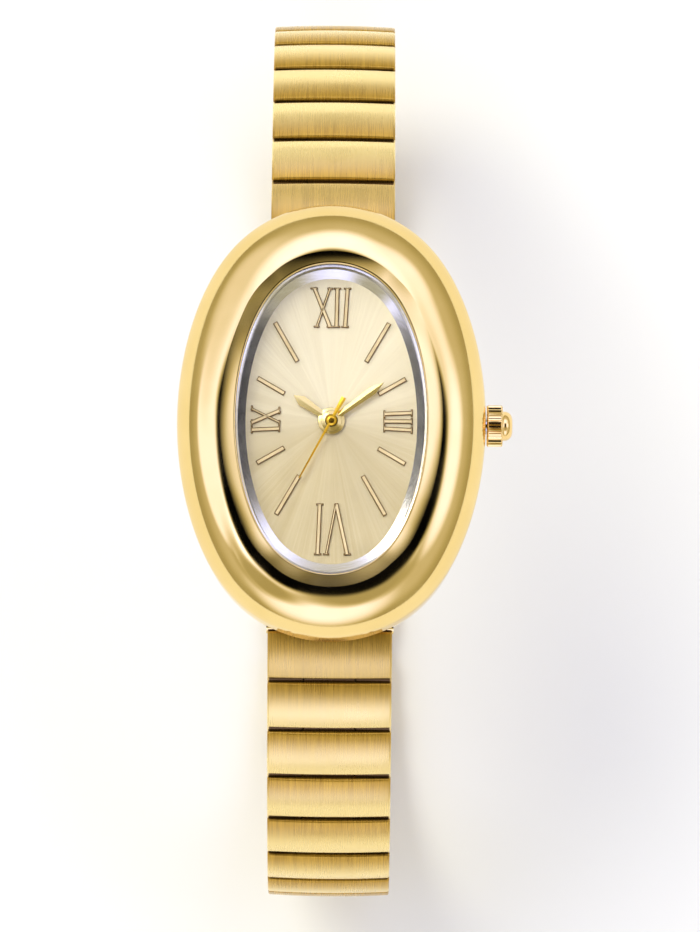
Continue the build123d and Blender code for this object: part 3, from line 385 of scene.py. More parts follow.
@dataclass(frozen=True)
class Finish:
    """One opaque finish: its colours, its gloss and its grain."""

    name: str
    colour: Colour
    deep: Colour
    grain: Grain = Grain.POLISHED
    metallic: float = 1.0
    gloss_low: float = 0.06
    gloss_high: float = 0.11
    lines: float = 18.0
    relief: float = 0.02
    bump_depth: float = 0.02
    spread: float = 0.0
    grain_place: str = ""
    # Painted light on links: far is a painted sheen colour towards a link's tail pin, and the colour after
    # it is painted shade for the gaps between links.
    far: Optional[Colour] = None
    painted_gap_shade: Optional[Colour] = None
    # Share of the tone that is painted light, lighter towards 12 o'clock.
    painted_light: float = 0.0

    def build(self, shelf: GroupShelf) -> bpy.types.Material:
        """Make the material.

        Args:
            shelf: the shared node groups.

        Returns:
            The material.
        """
        material, sheet = blank_material(self.name)
        tone, height, grain = self.pattern(sheet, shelf)
        handled = sheet.add("ShaderNodeGroup", node_tree=shelf.handling())
        colour = sheet.blend(tone, self.deep, self.colour)
        # Painted sheen towards a link's tail pin, weaker where the link's own share says so, then painted
        # shade low down in the gaps between links.
        if self.far and self.painted_gap_shade:
            painted_sheen = sheet.add("ShaderNodeAttribute", attribute_name=LINK_PAINTED_SHEEN).outputs["Fac"]
            reach = sheet.math("MULTIPLY", grain.outputs["Reach"], painted_sheen)
            colour = sheet.blend(reach, colour, self.far)
            colour = sheet.blend(grain.outputs["Recess"], colour, self.painted_gap_shade)
        worn = sheet.weighed(handled.outputs["Cloud"], 0.5, tone)
        gloss = sheet.span(worn, 0.0, 1.0, self.gloss_low, self.gloss_high)
        bump = sheet.add("ShaderNodeBump", {"Height": height, "Strength": self.relief,
                                            "Distance": self.bump_depth * MM})
        shader = sheet.add("ShaderNodeBsdfPrincipled",
                           {"Base Color": colour, "Metallic": self.metallic, "Roughness": gloss,
                            "Normal": bump.outputs[0], "Anisotropic": self.spread})
        if self.spread and self.grain is Grain.SUNBURST:
            tangent = sheet.add("ShaderNodeTangent", direction_type="RADIAL", axis="Z")
            sheet.link(shader, {"Tangent": tangent.outputs[0]})
        sheet.add("ShaderNodeOutputMaterial", {"Surface": shader.outputs[0]})
        return material

    def pattern(self, sheet: Sheet, shelf: GroupShelf) -> tuple:
        """Place the group that draws the grain.

        Args:
            sheet: the material's nodes.
            shelf: the shared node groups.

        Returns:
            The tone socket, the height socket and the group's node.
        """
        if self.grain is Grain.ALONG:
            seed = sheet.add("ShaderNodeAttribute", attribute_name="piece_seed").outputs["Fac"]
            place = sheet.add("ShaderNodeTexCoord").outputs["Object"]
            if self.grain_place:
                place = sheet.add("ShaderNodeAttribute", attribute_name=self.grain_place).outputs["Vector"]
            node = sheet.add("ShaderNodeGroup", {"Place": place, "Lines per mm": self.lines, "Seed": seed},
                             node_tree=shelf.brushed_along_with_painted_light())
        elif self.grain is Grain.CIRCULAR:
            node = sheet.add("ShaderNodeGroup", {"Lines per mm": self.lines},
                             node_tree=shelf.brushed_round())
        elif self.grain is Grain.SUNBURST:
            node = sheet.add("ShaderNodeGroup", {"Rays": self.lines}, node_tree=shelf.sunburst_with_painted_light())
            # The dial's tone is mostly painted light, lighter towards 12 o'clock. The rest is the rays' own
            # tone.
            painted_light = sheet.math("MULTIPLY", node.outputs["Upward"], self.painted_light)
            rays = sheet.math("MULTIPLY", node.outputs["Tone"], 1.0 - self.painted_light)
            return sheet.math("ADD", painted_light, rays), node.outputs["Height"], node
        else:
            node = sheet.add("ShaderNodeGroup", {"Specks per mm": self.lines}, node_tree=shelf.handling())
            tone = "Speck" if self.grain is Grain.MATT else "Cloud"
            return node.outputs[tone], node.outputs["Height"], node
        return node.outputs["Tone"], node.outputs["Height"], node


@dataclass(frozen=True)
class Glass:
    """Clear mineral glass that lets the lamps through to the dial."""

    name: str = "watch_crystal"
    tint: Colour = (1.0, 1.0, 1.0)
    index: float = 1.5
    clouds: float = 0.4
    smear: float = 0.012

    def build(self, shelf: GroupShelf) -> bpy.types.Material:
        """Make the material.

        Args:
            shelf: the shared node groups.

        Returns:
            The material.
        """
        material, sheet = blank_material(self.name)
        handled = sheet.add("ShaderNodeGroup", {"Clouds per mm": self.clouds}, node_tree=shelf.handling())
        gloss = sheet.span(handled.outputs["Cloud"], 0.0, 1.0, 0.0, self.smear)
        shader = sheet.add("ShaderNodeBsdfPrincipled",
                           {"Base Color": (*self.tint, 1.0), "Roughness": gloss, "IOR": self.index,
                            "Transmission Weight": 1.0})
        clear = sheet.add("ShaderNodeBsdfTransparent")
        rays = sheet.add("ShaderNodeLightPath")
        surface = sheet.add("ShaderNodeMixShader",
                            {0: rays.outputs["Is Shadow Ray"], 1: shader.outputs[0], 2: clear.outputs[0]})
        sheet.add("ShaderNodeOutputMaterial", {"Surface": surface.outputs[0]})
        return material


POLISHED_GOLD = Finish("polished_gold", (0.88, 0.665, 0.275), (0.85, 0.635, 0.25), lines=6.0,
                       gloss_low=0.075, gloss_high=0.11, relief=0.004)
SATIN_GOLD = Finish("satin_gold", (0.90, 0.66, 0.19), (0.78, 0.54, 0.13), Grain.ALONG,
                    gloss_low=0.26, gloss_high=0.36, lines=26.0, relief=0.25, spread=0.5)
# Links: a dark base colour near the head pin, a painted sheen colour (far) towards the tail pin, and a
# near-black painted shade colour low in the gaps between links.
LINK_GOLD = Finish("link_gold", (0.58, 0.34, 0.03), (0.38, 0.21, 0.015), Grain.ALONG, 0.6,
                   gloss_low=0.24, gloss_high=0.34, lines=26.0, relief=0.22, spread=0.4,
                   grain_place=LINK_PLACE, far=(1.0, 0.80, 0.33), painted_gap_shade=(0.10, 0.05, 0.008))
CROWN_GOLD = Finish("crown_gold", (0.95, 0.70, 0.30), (0.90, 0.64, 0.26), lines=8.0,
                    gloss_low=0.12, gloss_high=0.20, relief=0.02)
HAND_GOLD = Finish("hand_gold", (0.70, 0.55, 0.20), (0.65, 0.50, 0.17), lines=10.0,
                   gloss_low=0.14, gloss_high=0.22, relief=0.01)
SECOND_GOLD = Finish("second_hand_gold", (0.90, 0.58, 0.06), (0.85, 0.52, 0.045), lines=10.0,
                     gloss_low=0.16, gloss_high=0.26, relief=0.01)
MARKER_GOLD = Finish("marker_gold", (0.92, 0.75, 0.40), (0.85, 0.68, 0.34), metallic=0.35, lines=10.0,
                     gloss_low=0.32, gloss_high=0.42, relief=0.01)
# Painted shade: a dark colour on the markers' walls and bevels.
MARKER_PAINTED_SHADE = Finish("marker_painted_shade", (0.19, 0.10, 0.015), (0.15, 0.075, 0.01), metallic=0.35, lines=10.0,
                     gloss_low=0.3, gloss_high=0.4, relief=0.01)
SILVER_RING = Finish("silver_ring", (0.82, 0.79, 0.68), (0.77, 0.74, 0.63), Grain.CIRCULAR,
                     gloss_low=0.17, gloss_high=0.21, lines=10.0, relief=0.003)
# The dial is painted lighter towards 12 o'clock: most of its tone is painted light, and the rest is the
# sunburst's rays.
DIAL_CHAMPAGNE = Finish("dial_champagne", (0.97, 0.88, 0.57), (0.70, 0.58, 0.29), Grain.SUNBURST,
                        metallic=0.36, gloss_low=0.34, gloss_high=0.44, lines=120.0, relief=0.03,
                        spread=0.6, painted_light=0.72)
BACK_STEEL = Finish("back_steel", (0.68, 0.68, 0.69), (0.58, 0.58, 0.60), Grain.CIRCULAR,
                    gloss_low=0.24, gloss_high=0.34, lines=12.0, relief=0.2)
STEEL = Finish("steel", (0.62, 0.62, 0.63), (0.52, 0.52, 0.54), gloss_low=0.16, gloss_high=0.26)
BATTERY_STEEL = Finish("battery_steel", (0.72, 0.72, 0.72), (0.62, 0.62, 0.64), Grain.CIRCULAR,
                       gloss_low=0.14, gloss_high=0.22)
WHEEL_BRASS = Finish("wheel_brass", (0.78, 0.60, 0.28), (0.66, 0.48, 0.20), Grain.CIRCULAR,
                     gloss_low=0.2, gloss_high=0.3, relief=0.1)
PLATE_BRASS = Finish("plate_brass", (0.74, 0.66, 0.44), (0.64, 0.55, 0.34), Grain.MATT,
                     gloss_low=0.3, gloss_high=0.42, relief=0.1)
HOLDER_PLASTIC = Finish("holder_plastic", (0.88, 0.88, 0.86), (0.82, 0.82, 0.80), Grain.MATT, 0.0,
                        gloss_low=0.45, gloss_high=0.6, relief=0.1)
GASKET_RUBBER = Finish("gasket_rubber", (0.06, 0.06, 0.06), (0.04, 0.04, 0.04), Grain.MATT, 0.0,
                       gloss_low=0.6, gloss_high=0.75, relief=0.15)
COIL_COPPER = Finish("coil_copper", (0.60, 0.26, 0.12), (0.42, 0.16, 0.07), Grain.ALONG, 0.85,
                     gloss_low=0.2, gloss_high=0.32, lines=12.0, relief=0.5)
BOARD_GREEN = Finish("board_green", (0.10, 0.28, 0.14), (0.07, 0.21, 0.10), Grain.MATT, 0.0,
                     gloss_low=0.3, gloss_high=0.45, relief=0.1)
ROTOR_MAGNET = Finish("rotor_magnet", (0.18, 0.18, 0.19), (0.13, 0.13, 0.14), Grain.MATT, 0.6,
                      gloss_low=0.35, gloss_high=0.5, relief=0.1)


class FinishBook:
    """Builds each finish's material the first time that a piece asks for it."""

    def __init__(self) -> None:
        """Start with an empty book."""
        self.shelf = GroupShelf()
        self.made: dict[str, bpy.types.Material] = {}

    def material(self, finish: Finish | Glass) -> bpy.types.Material:
        """The material of a finish, built once."""
        if finish.name not in self.made:
            self.made[finish.name] = finish.build(self.shelf)
        return self.made[finish.name]

    def dress(self, piece: bpy.types.Object, *finishes: Finish | Glass) -> None:
        """Put finishes on a piece, the first on all faces that name no other."""
        if piece.data.materials:
            piece.data.materials.clear()
        for finish in finishes:
            piece.data.materials.append(self.material(finish))


# Meshes

def placed(name: str, mesh: bpy.types.Mesh) -> bpy.types.Object:
    """New object for a mesh, linked to the scene."""
    piece = bpy.data.objects.new(name, mesh)
    bpy.context.scene.collection.objects.link(piece)
    return piece


def make_piece(name: str, vertices: Iterable[Point], faces: Iterable[Sequence[int]],
               crease: float = CREASE) -> bpy.types.Object:
    """Make a smooth-shaded object from millimetre coordinates.

    Args:
        name: name of the piece.
        vertices: points in millimetres.
        faces: vertex numbers of each face.
        crease: edges sharper than this many degrees stay sharp.

    Returns:
        The object, linked to the scene.
    """
    mesh = bpy.data.meshes.new(name)
    mesh.from_pydata([Vector(v) * MM for v in vertices], [], list(faces))
    tidy_normals(mesh, crease)
    return placed(name, mesh)


def tidy_normals(mesh: bpy.types.Mesh, crease: float) -> None:
    """Point all faces outwards and shade them smooth up to a crease angle.

    Args:
        mesh: mesh to change.
        crease: angle in degrees.
    """
    shape = bmesh.new()
    shape.from_mesh(mesh)
    bmesh.ops.recalc_face_normals(shape, faces=shape.faces)
    shape.to_mesh(mesh)
    shape.free()
    mesh.shade_smooth()
    mesh.set_sharp_from_angle(angle=math.radians(crease))


def arc_points(centre: Flat, radii: Flat, start: float, end: float, steps: int) -> list[Flat]:
    """Points of an elliptic arc.

    Args:
        centre: middle of the ellipse.
        radii: half axes along the first and second coordinate.
        start: first angle in degrees.
        end: last angle in degrees.
        steps: number of pieces the arc is divided into.

    Returns:
        The points from start to end.
    """
    angles = [math.radians(start + (end - start) * step / steps) for step in range(steps + 1)]
    return [(centre[0] + radii[0] * math.cos(a), centre[1] + radii[1] * math.sin(a)) for a in angles]


def closed_strips(rows: int, columns: int, wrap_rows: bool = True,
                  wrap_columns: bool = True) -> list[Sequence[int]]:
    """Quads of a grid of vertices numbered row by row.

    Args:
        rows: number of rows.
        columns: number of vertices in a row.
        wrap_rows: join the last row to the first.
        wrap_columns: join the last column to the first.

    Returns:
        The faces.
    """
    faces = []
    for row in range(rows if wrap_rows else rows - 1):
        above = (row + 1) % rows
        for column in range(columns if wrap_columns else columns - 1):
            beside = (column + 1) % columns
            faces.append((row * columns + column, row * columns + beside,
                          above * columns + beside, above * columns + column))
    return faces


@dataclass(frozen=True)
class Oval:
    """Oval whose radius of curvature eases from its flat sides to its round ends."""

    half_width: float
    half_length: float
    steps: int = 26
    meet: float = 24.0
    ease: float = 20.0
    fine: int = 900

    @cached_property
    def quarter(self) -> list[Flat]:
        """Points of the first quarter at even bearings of the outward normal.

        Returns:
            The points, from the side's middle to the end's middle.
        """
        turn = math.pi / 2 / self.fine
        bearings = [turn * (step + 0.5) for step in range(self.fine)]
        first, last = math.radians(self.meet - self.ease), math.radians(self.meet + self.ease)
        shares = [eased(max(0.0, min(1.0, (b - first) / (last - first)))) for b in bearings]
        across = sum(share * math.sin(b) for share, b in zip(shares, bearings)) * turn
        along = sum(share * math.cos(b) for share, b in zip(shares, bearings)) * turn
        end = self.half_length * (1.0 - across) - self.half_width * (1.0 - along)
        end /= along * (1.0 - across) - across * (1.0 - along)
        side = (self.half_width - end * across) / (1.0 - across)
        points = [(self.half_width, 0.0)]
        for share, b in zip(shares, bearings):
            reach = (side + (end - side) * share) * turn
            points.append((points[-1][0] - reach * math.sin(b), points[-1][1] + reach * math.cos(b)))
        return points

    def point(self, bearing: float) -> Flat:
        """Point of the outline whose outward normal has this bearing.

        Args:
            bearing: radians anticlockwise from +X.

        Returns:
            The point.
        """
        folded = math.atan2(abs(math.sin(bearing)), abs(math.cos(bearing)))
        place = folded / (math.pi / 2) * self.fine
        below = min(int(place), self.fine - 1)
        x, y = (a + (b - a) * (place - below)
                for a, b in zip(self.quarter[below], self.quarter[below + 1]))
        return math.copysign(x, math.cos(bearing)), math.copysign(y, math.sin(bearing))

    def bearings(self) -> list[float]:
        """Bearings of the outline's stations, dense on the short arcs too.

        Returns:
            The bearings once round, in radians.
        """
        meet = math.radians(self.meet)
        quarter = [meet * step / self.steps for step in range(self.steps)]
        quarter += [meet + (math.pi / 2 - meet) * step / self.steps for step in range(self.steps)]
        half = quarter + [math.pi - b for b in reversed(quarter[1:] + [math.pi / 2])]
        return half + [math.pi + b for b in half]


def lofted_ring(name: str, outer: Oval, inner: Oval, cut_at: Callable[[float, float], list[Flat]],
                crease: float = CREASE) -> bpy.types.Object:
    """Loft a closed section round between two ovals.

    Args:
        name: name of the piece.
        outer: oval that distances are measured from.
        inner: oval that they are measured towards.
        cut_at: gives the section as (distance, height) from a bearing and the width there.
        crease: edges sharper than this stay sharp, in degrees.

    Returns:
        The object.
    """
    vertices = []
    bearings = outer.bearings()
    for bearing in bearings:
        start, end = outer.point(bearing), inner.point(bearing)
        width = math.dist(start, end)
        cut = cut_at(bearing, width)
        for distance, z in cut:
            share = distance / width
            vertices.append((start[0] + (end[0] - start[0]) * share,
                             start[1] + (end[1] - start[1]) * share, z))
    return make_piece(name, vertices, closed_strips(len(bearings), len(cut)), crease)


def turned(name: str, profile: Sequence[Flat], steps: int, ripple: Optional[Callable] = None,
           crease: float = CREASE) -> bpy.types.Object:
    """Turn a profile about +Z, closed by a point on the axis at both ends.

    Args:
        name: name of the piece.
        profile: points as (radius, height), the first and last on the axis.
        steps: number of divisions round.
        ripple: gives the factor on a radius from its number round and the profile's point.
        crease: edges sharper than this stay sharp, in degrees.

    Returns:
        The object.
    """
    inner = profile[1:-1]
    vertices = []
    for step in range(steps):
        turn = math.tau * step / steps
        for radius, height in inner:
            size = radius * (ripple(step, (radius, height)) if ripple else 1.0)
            vertices.append((size * math.cos(turn), size * math.sin(turn), height))
    faces = closed_strips(steps, len(inner), wrap_columns=False)
    vertices += [(0.0, 0.0, profile[0][1]), (0.0, 0.0, profile[-1][1])]
    low, high = len(vertices) - 2, len(vertices) - 1
    for step in range(steps):
        after = (step + 1) % steps
        faces.append((low, after * len(inner), step * len(inner)))
        faces.append((high, step * len(inner) + len(inner) - 1, after * len(inner) + len(inner) - 1))
    return make_piece(name, vertices, faces, crease)


def joined(name: str, pieces: Sequence[bpy.types.Object], crease: float = CREASE) -> bpy.types.Object:
    """Put the meshes of several objects into one, each where it stands.

    Args:
        name: name of the new piece.
        pieces: objects, which are removed.
        crease: edges sharper than this stay sharp, in degrees.

    Returns:
        The new object.
    """
    shape = bmesh.new()
    for piece in pieces:
        piece.data.transform(piece.matrix_world)
        shape.from_mesh(piece.data)
        bpy.data.objects.remove(piece)
    mesh = bpy.data.meshes.new(name)
    shape.to_mesh(mesh)
    shape.free()
    tidy_normals(mesh, crease)
    return placed(name, mesh)


def combined(name: str, base: bpy.types.Object, steps: Sequence[tuple[str, bpy.types.Object]],
             crease: float = CREASE) -> bpy.types.Object:
    """Cut and add solids one after another.

    Args:
        name: name of the result.
        base: first solid, which is removed.
        steps: operation (DIFFERENCE or UNION) and solid, which is removed too.
        crease: edges sharper than this stay sharp, in degrees.

    Returns:
        The new object.
    """
    for operation, tool in steps:
        modifier = base.modifiers.new(operation, "BOOLEAN")
        modifier.operation = operation
        modifier.object = tool
        modifier.solver = "EXACT"
    bpy.context.view_layer.update()
    evaluated = base.evaluated_get(bpy.context.evaluated_depsgraph_get())
    mesh = bpy.data.meshes.new_from_object(evaluated)
    mesh.name = name
    for extra in [base, *(tool for _, tool in steps)]:
        bpy.data.objects.remove(extra)
    tidy_normals(mesh, crease)
    return placed(name, mesh)


def rod(name: str, radius: float, x_span: Sequence[float], centre: Flat = (0.0, 0.0),
        edge: float = 0.0) -> bpy.types.Object:
    """Round bar along X with optional chamfered ends.

    Args:
        name: name of the piece.
        radius: radius of the bar.
        x_span: its two ends.
        centre: place of its axis in Y and Z.
        edge: chamfer of its ends.

    Returns:
        The object.
    """
    start, end = x_span
    profile = [(0.0, start), (radius - edge, start), (radius, start + edge), (radius, end - edge),
               (radius - edge, end), (0.0, end)]
    if not edge:
        profile = [(0.0, start), (radius, start), (radius, end), (0.0, end)]
    piece = turned(name, profile, ROD_STEPS)
    piece.data.transform(Matrix.Rotation(math.pi / 2, 4, "Y"))
    piece.data.transform(Matrix.Translation((0.0, centre[0] * MM, centre[1] * MM)))
    return piece


def slab(name: str, spans: Sequence[Sequence[float]]) -> bpy.types.Object:
    """Block between three spans.

    Args:
        name: name of the piece.
        spans: its spans in X, Y and Z.

    Returns:
        The object.
    """
    corners = [(x, y, z) for x in spans[0] for y in spans[1] for z in spans[2]]
    faces = [(0, 1, 3, 2), (4, 6, 7, 5), (0, 4, 5, 1), (2, 3, 7, 6), (0, 2, 6, 4), (1, 5, 7, 3)]
    return make_piece(name, corners, faces)


def ride(piece: bpy.types.Object, body: str, node: str) -> None:
    """Hang a finished piece on its body in place of its CAD node.

    Args:
        piece: the new piece, in its place.
        body: CAD body that it moves with.
        node: CAD node that it stands for.
    """
    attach(piece, body)
    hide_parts(node)
    LOG.info("%s stands for %s on %s", piece.name, node, body)


# Head

@dataclass(frozen=True)
class Section:
    """Cut through the bezel at one bearing: its crest and the slopes there, in mm and degrees."""

    bearing: float
    crest: float
    dome_end: float
    slope_start: float
    slope_end: float


def section_at(sections: Sequence[Section], bearing: float) -> Section:
    """Section between the two drawn ones that enclose a bearing.

    Args:
        sections: drawn sections from 6 o'clock to 12 o'clock.
        bearing: radians anticlockwise from +X, folded onto the right half.

    Returns:
        The section.
    """
    folded = math.degrees(math.atan2(math.sin(bearing), abs(math.cos(bearing))))
    pairs = list(zip(sections, sections[1:]))
    below, above = next((pair for pair in pairs if folded <= pair[1].bearing), pairs[-1])
    share = eased((folded - below.bearing) / (above.bearing - below.bearing))
    return Section(*(a + (b - a) * share for a, b in zip(astuple(below), astuple(above))))


BEZEL_SECTIONS = (
    Section(-90.0, 4.12, 4.5, 5.5, 5.8),
    Section(-50.0, 4.01, 0.0, 6.5, 7.3),
    Section(-25.0, 3.71, 0.0, 5.7, 10.6),
    Section(0.0, 3.51, 4.5, 6.8, 13.9),
    Section(25.0, 3.76, 14.0, 11.5, 11.1),
    Section(50.0, 4.09, 9.6, 12.7, 13.3),
    Section(90.0, 4.22, 5.3, 9.1, 14.6),
)


@dataclass
class Head:
    """Bezel, crystal and dial ring, and the case parts that keep their CAD shape."""

    book: FinishBook
    nodes: dict[str, bpy.types.Object]
    sections: Sequence[Section] = BEZEL_SECTIONS
    dome_radius: float = 4.3
    dome_reach: float = 0.94
    edge_round: float = 0.12
    skirt_round: float = 0.3
    flank_width: float = 0.20
    wall_rise: float = 0.95
    lip_round: float = 0.1
    slope_power: float = 0.6
    crease_gap: float = 0.012
    glass_gap: float = 0.02
    glass_chamfer: float = 0.12
    ring_width: float = 0.80
    ring_extra: float = 0.20
    rim_width: float = 0.10
    rim_drop: float = 0.045
    rim_foot: float = 0.25
    ring_rise_at_top: float = 0.36
    ring_rise_at_bottom: float = 0.32
    ring_rise_at_sides: float = 0.03
    ring_depth: float = 0.6
    outline_steps: int = 44
    arc_steps: int = 34
    slope_steps: int = 12
    dome_cover: float = 0.9
    edge_in: float = 0.12
    edge_down: float = 0.2
    skirt_steps: int = 5
    lip_steps: int = 4
    lip_turn: float = 80.0
    flank_power: int = 4
    glass_dome: float = 0.5
    glass_steps: int = 12
    bezel_crease: float = 11.0
    glass_crease: float = 25.0
    ring_crease: float = 2.0

    def build(self) -> None:
        """Make the head's pieces and dress the ones that keep their CAD shape."""
        self.bezel()
        self.crystal()
        self.dial_ring()
        for node, finish in (("case_body", POLISHED_GOLD), ("caseback_gasket", GASKET_RUBBER),
                             ("spring_bars", STEEL), ("crown_tube", STEEL)):
            self.book.dress(self.nodes[node], finish)

    def bezel(self) -> None:
        """Thick polished dome that ends in an edge over a low flank, and slopes to the glass."""
        low, high = box_mm("bezel")
        glass_low, glass_high = box_mm("crystal")
        outer = Oval(high.x, high.y, steps=self.outline_steps)
        inner = Oval(glass_high.x + self.glass_gap, glass_high.y + self.glass_gap)

        def cut_at(bearing: float, width: float) -> list[Flat]:
            """Section of the bezel at one bearing.

            Args:
                bearing: radians anticlockwise from +X.
                width: distance from the edge to the crystal's seat.

            Returns:
                The section as (distance, height).
            """
            flank = self.flank_width * max(0.0, -math.sin(bearing))**self.flank_power
            section = section_at(self.sections, bearing)
            return self.cut(section, width, (low.z, high.z), glass_low.z, flank)

        piece = lofted_ring("bezel_ring", outer, inner, cut_at, self.bezel_crease)
        self.book.dress(piece, POLISHED_GOLD)
        ride(piece, "head", "bezel")

    def cut(self, section: Section, width: float, heights: Flat, seat: float,
            flank: float) -> list[Flat]:
        """Closed outline of the bezel's section as (distance from its edge, height).

        Args:
            section: the drawn section.
            width: distance from the edge to the crystal's seat.
            heights: lowest and highest height.
            seat: height of the crystal's seat.
            flank: how far the flank leans in from the skirt up to the dome.

        Returns:
            The outline.
        """
        low, high = heights
        hidden = self.dome_cover * math.sin(math.radians(max(0.0, section.dome_end)))
        top = math.sqrt(1.0 - hidden**2)

        def dome(share: float) -> Flat:
            """Point of the dome.

            Args:
                share: share of the way from its edge to its crest.

            Returns:
                The point as (distance, height).
            """
            rest = (1.0 - share) * (self.dome_reach - hidden) + hidden
            level = high - self.dome_radius * (top - math.sqrt(1.0 - rest**2))
            return flank + share * (section.crest - flank), level

        edge = dome(0.0)[1]
        points = [(width, low), (self.skirt_round, low)]
        points += arc_points((self.skirt_round, low + self.skirt_round),
                             (-self.skirt_round, -self.skirt_round), 90, 0, self.skirt_steps)[1:]
        points += [(flank, edge - self.edge_round),
                   (flank + self.edge_round * self.edge_in, edge - self.edge_round * self.edge_down)]
        first = self.edge_round / section.crest
        for step in range(self.arc_steps):
            share = 1.0 - math.cos(math.pi / 2 * step / self.arc_steps)
            if share > first:
                points.append(dome(share))
        points += [dome(1.0 - self.crease_gap), dome(1.0)]
        slope = width - section.crest - self.lip_round
        level, before = high, 0.0
        shares = [step / self.slope_steps for step in range(1, self.slope_steps + 1)]
        for share in [self.crease_gap] + shares:
            turn = section.slope_end - section.slope_start
            tilt = math.radians(section.slope_start + turn * share**self.slope_power)
            level -= math.tan(tilt) * slope * (share - before)
            before = share
            points.append((section.crest + slope * share, level))
        points += arc_points((width - self.lip_round, level - self.lip_round),
                             (self.lip_round, self.lip_round), self.lip_turn, 0, self.lip_steps)
        points.append((width, seat + self.wall_rise))
        return points

    def crystal(self) -> None:
        """Glass, flat inside and gently domed outside."""
        low, high = box_mm("crystal")
        oval = Oval(high.x, high.y)
        rise = self.glass_dome
        dome = (high.y**2 + rise**2) / (2 * rise)
        bearings = oval.bearings()
        shrinks = [1.0 - self.glass_chamfer / high.x]
        shrinks += [step / self.glass_steps for step in range(self.glass_steps - 1, 0, -1)]
        rings = [(1.0, low.z), (1.0, None)] + [(shrink, None) for shrink in shrinks]
        vertices = [(0.0, 0.0, low.z)]
        for shrink, level in rings:
            for bearing in bearings:
                x, y = oval.point(bearing)
                x, y = x * shrink, y * shrink
                z = high.z - dome + math.sqrt(dome**2 - x * x - y * y) if level is None else level
                if level is None and shrink == 1.0:
                    z -= self.glass_chamfer
                vertices.append((x, y, z))
        vertices.append((0.0, 0.0, high.z))
        count = len(bearings)
        faces = [tuple(number + 1 for number in face)
                 for face in closed_strips(len(rings), count, wrap_rows=False)]
        last = 1 + (len(rings) - 1) * count
        for step in range(count):
            after = (step + 1) % count
            faces.append((0, 1 + after, 1 + step))
            faces.append((len(vertices) - 1, last + step, last + after))
        piece = make_piece("crystal_glass", vertices, faces, self.glass_crease)
        self.book.dress(piece, Glass())
        ride(piece, "head", "crystal")

    def dial_ring(self) -> None:
        """Silver ring from the crystal's rim down to the dial, steeper at its ends."""
        low, high = box_mm("dial_ring")
        outer = Oval(high.x, high.y, steps=self.outline_steps)
        foot = Oval(high.x - self.ring_width, high.y - self.ring_width - self.ring_extra)

        def cut_at(bearing: float, width: float) -> list[Flat]:
            """Section of the ring at one bearing.

            Args:
                bearing: radians anticlockwise from +X.
                width: distance from the ring's rim to its foot.

            Returns:
                The section as (distance, height).
            """
            upright = math.sin(bearing)**2
            rise = self.ring_rise_at_top if math.sin(bearing) > 0.0 else self.ring_rise_at_bottom
            rise = self.ring_rise_at_sides + (rise - self.ring_rise_at_sides) * upright
            return [(0.0, high.z), (self.rim_width, high.z - self.rim_drop), (self.rim_foot, low.z + rise),
                    (width, low.z), (self.rim_foot, low.z), (self.rim_foot, high.z - self.ring_depth),
                    (0.0, high.z - self.ring_depth)]

        piece = lofted_ring("dial_ring_bevel", outer, foot, cut_at, self.ring_crease)
        self.book.dress(piece, SILVER_RING)
        ride(piece, "head", "dial_ring")


# Dial

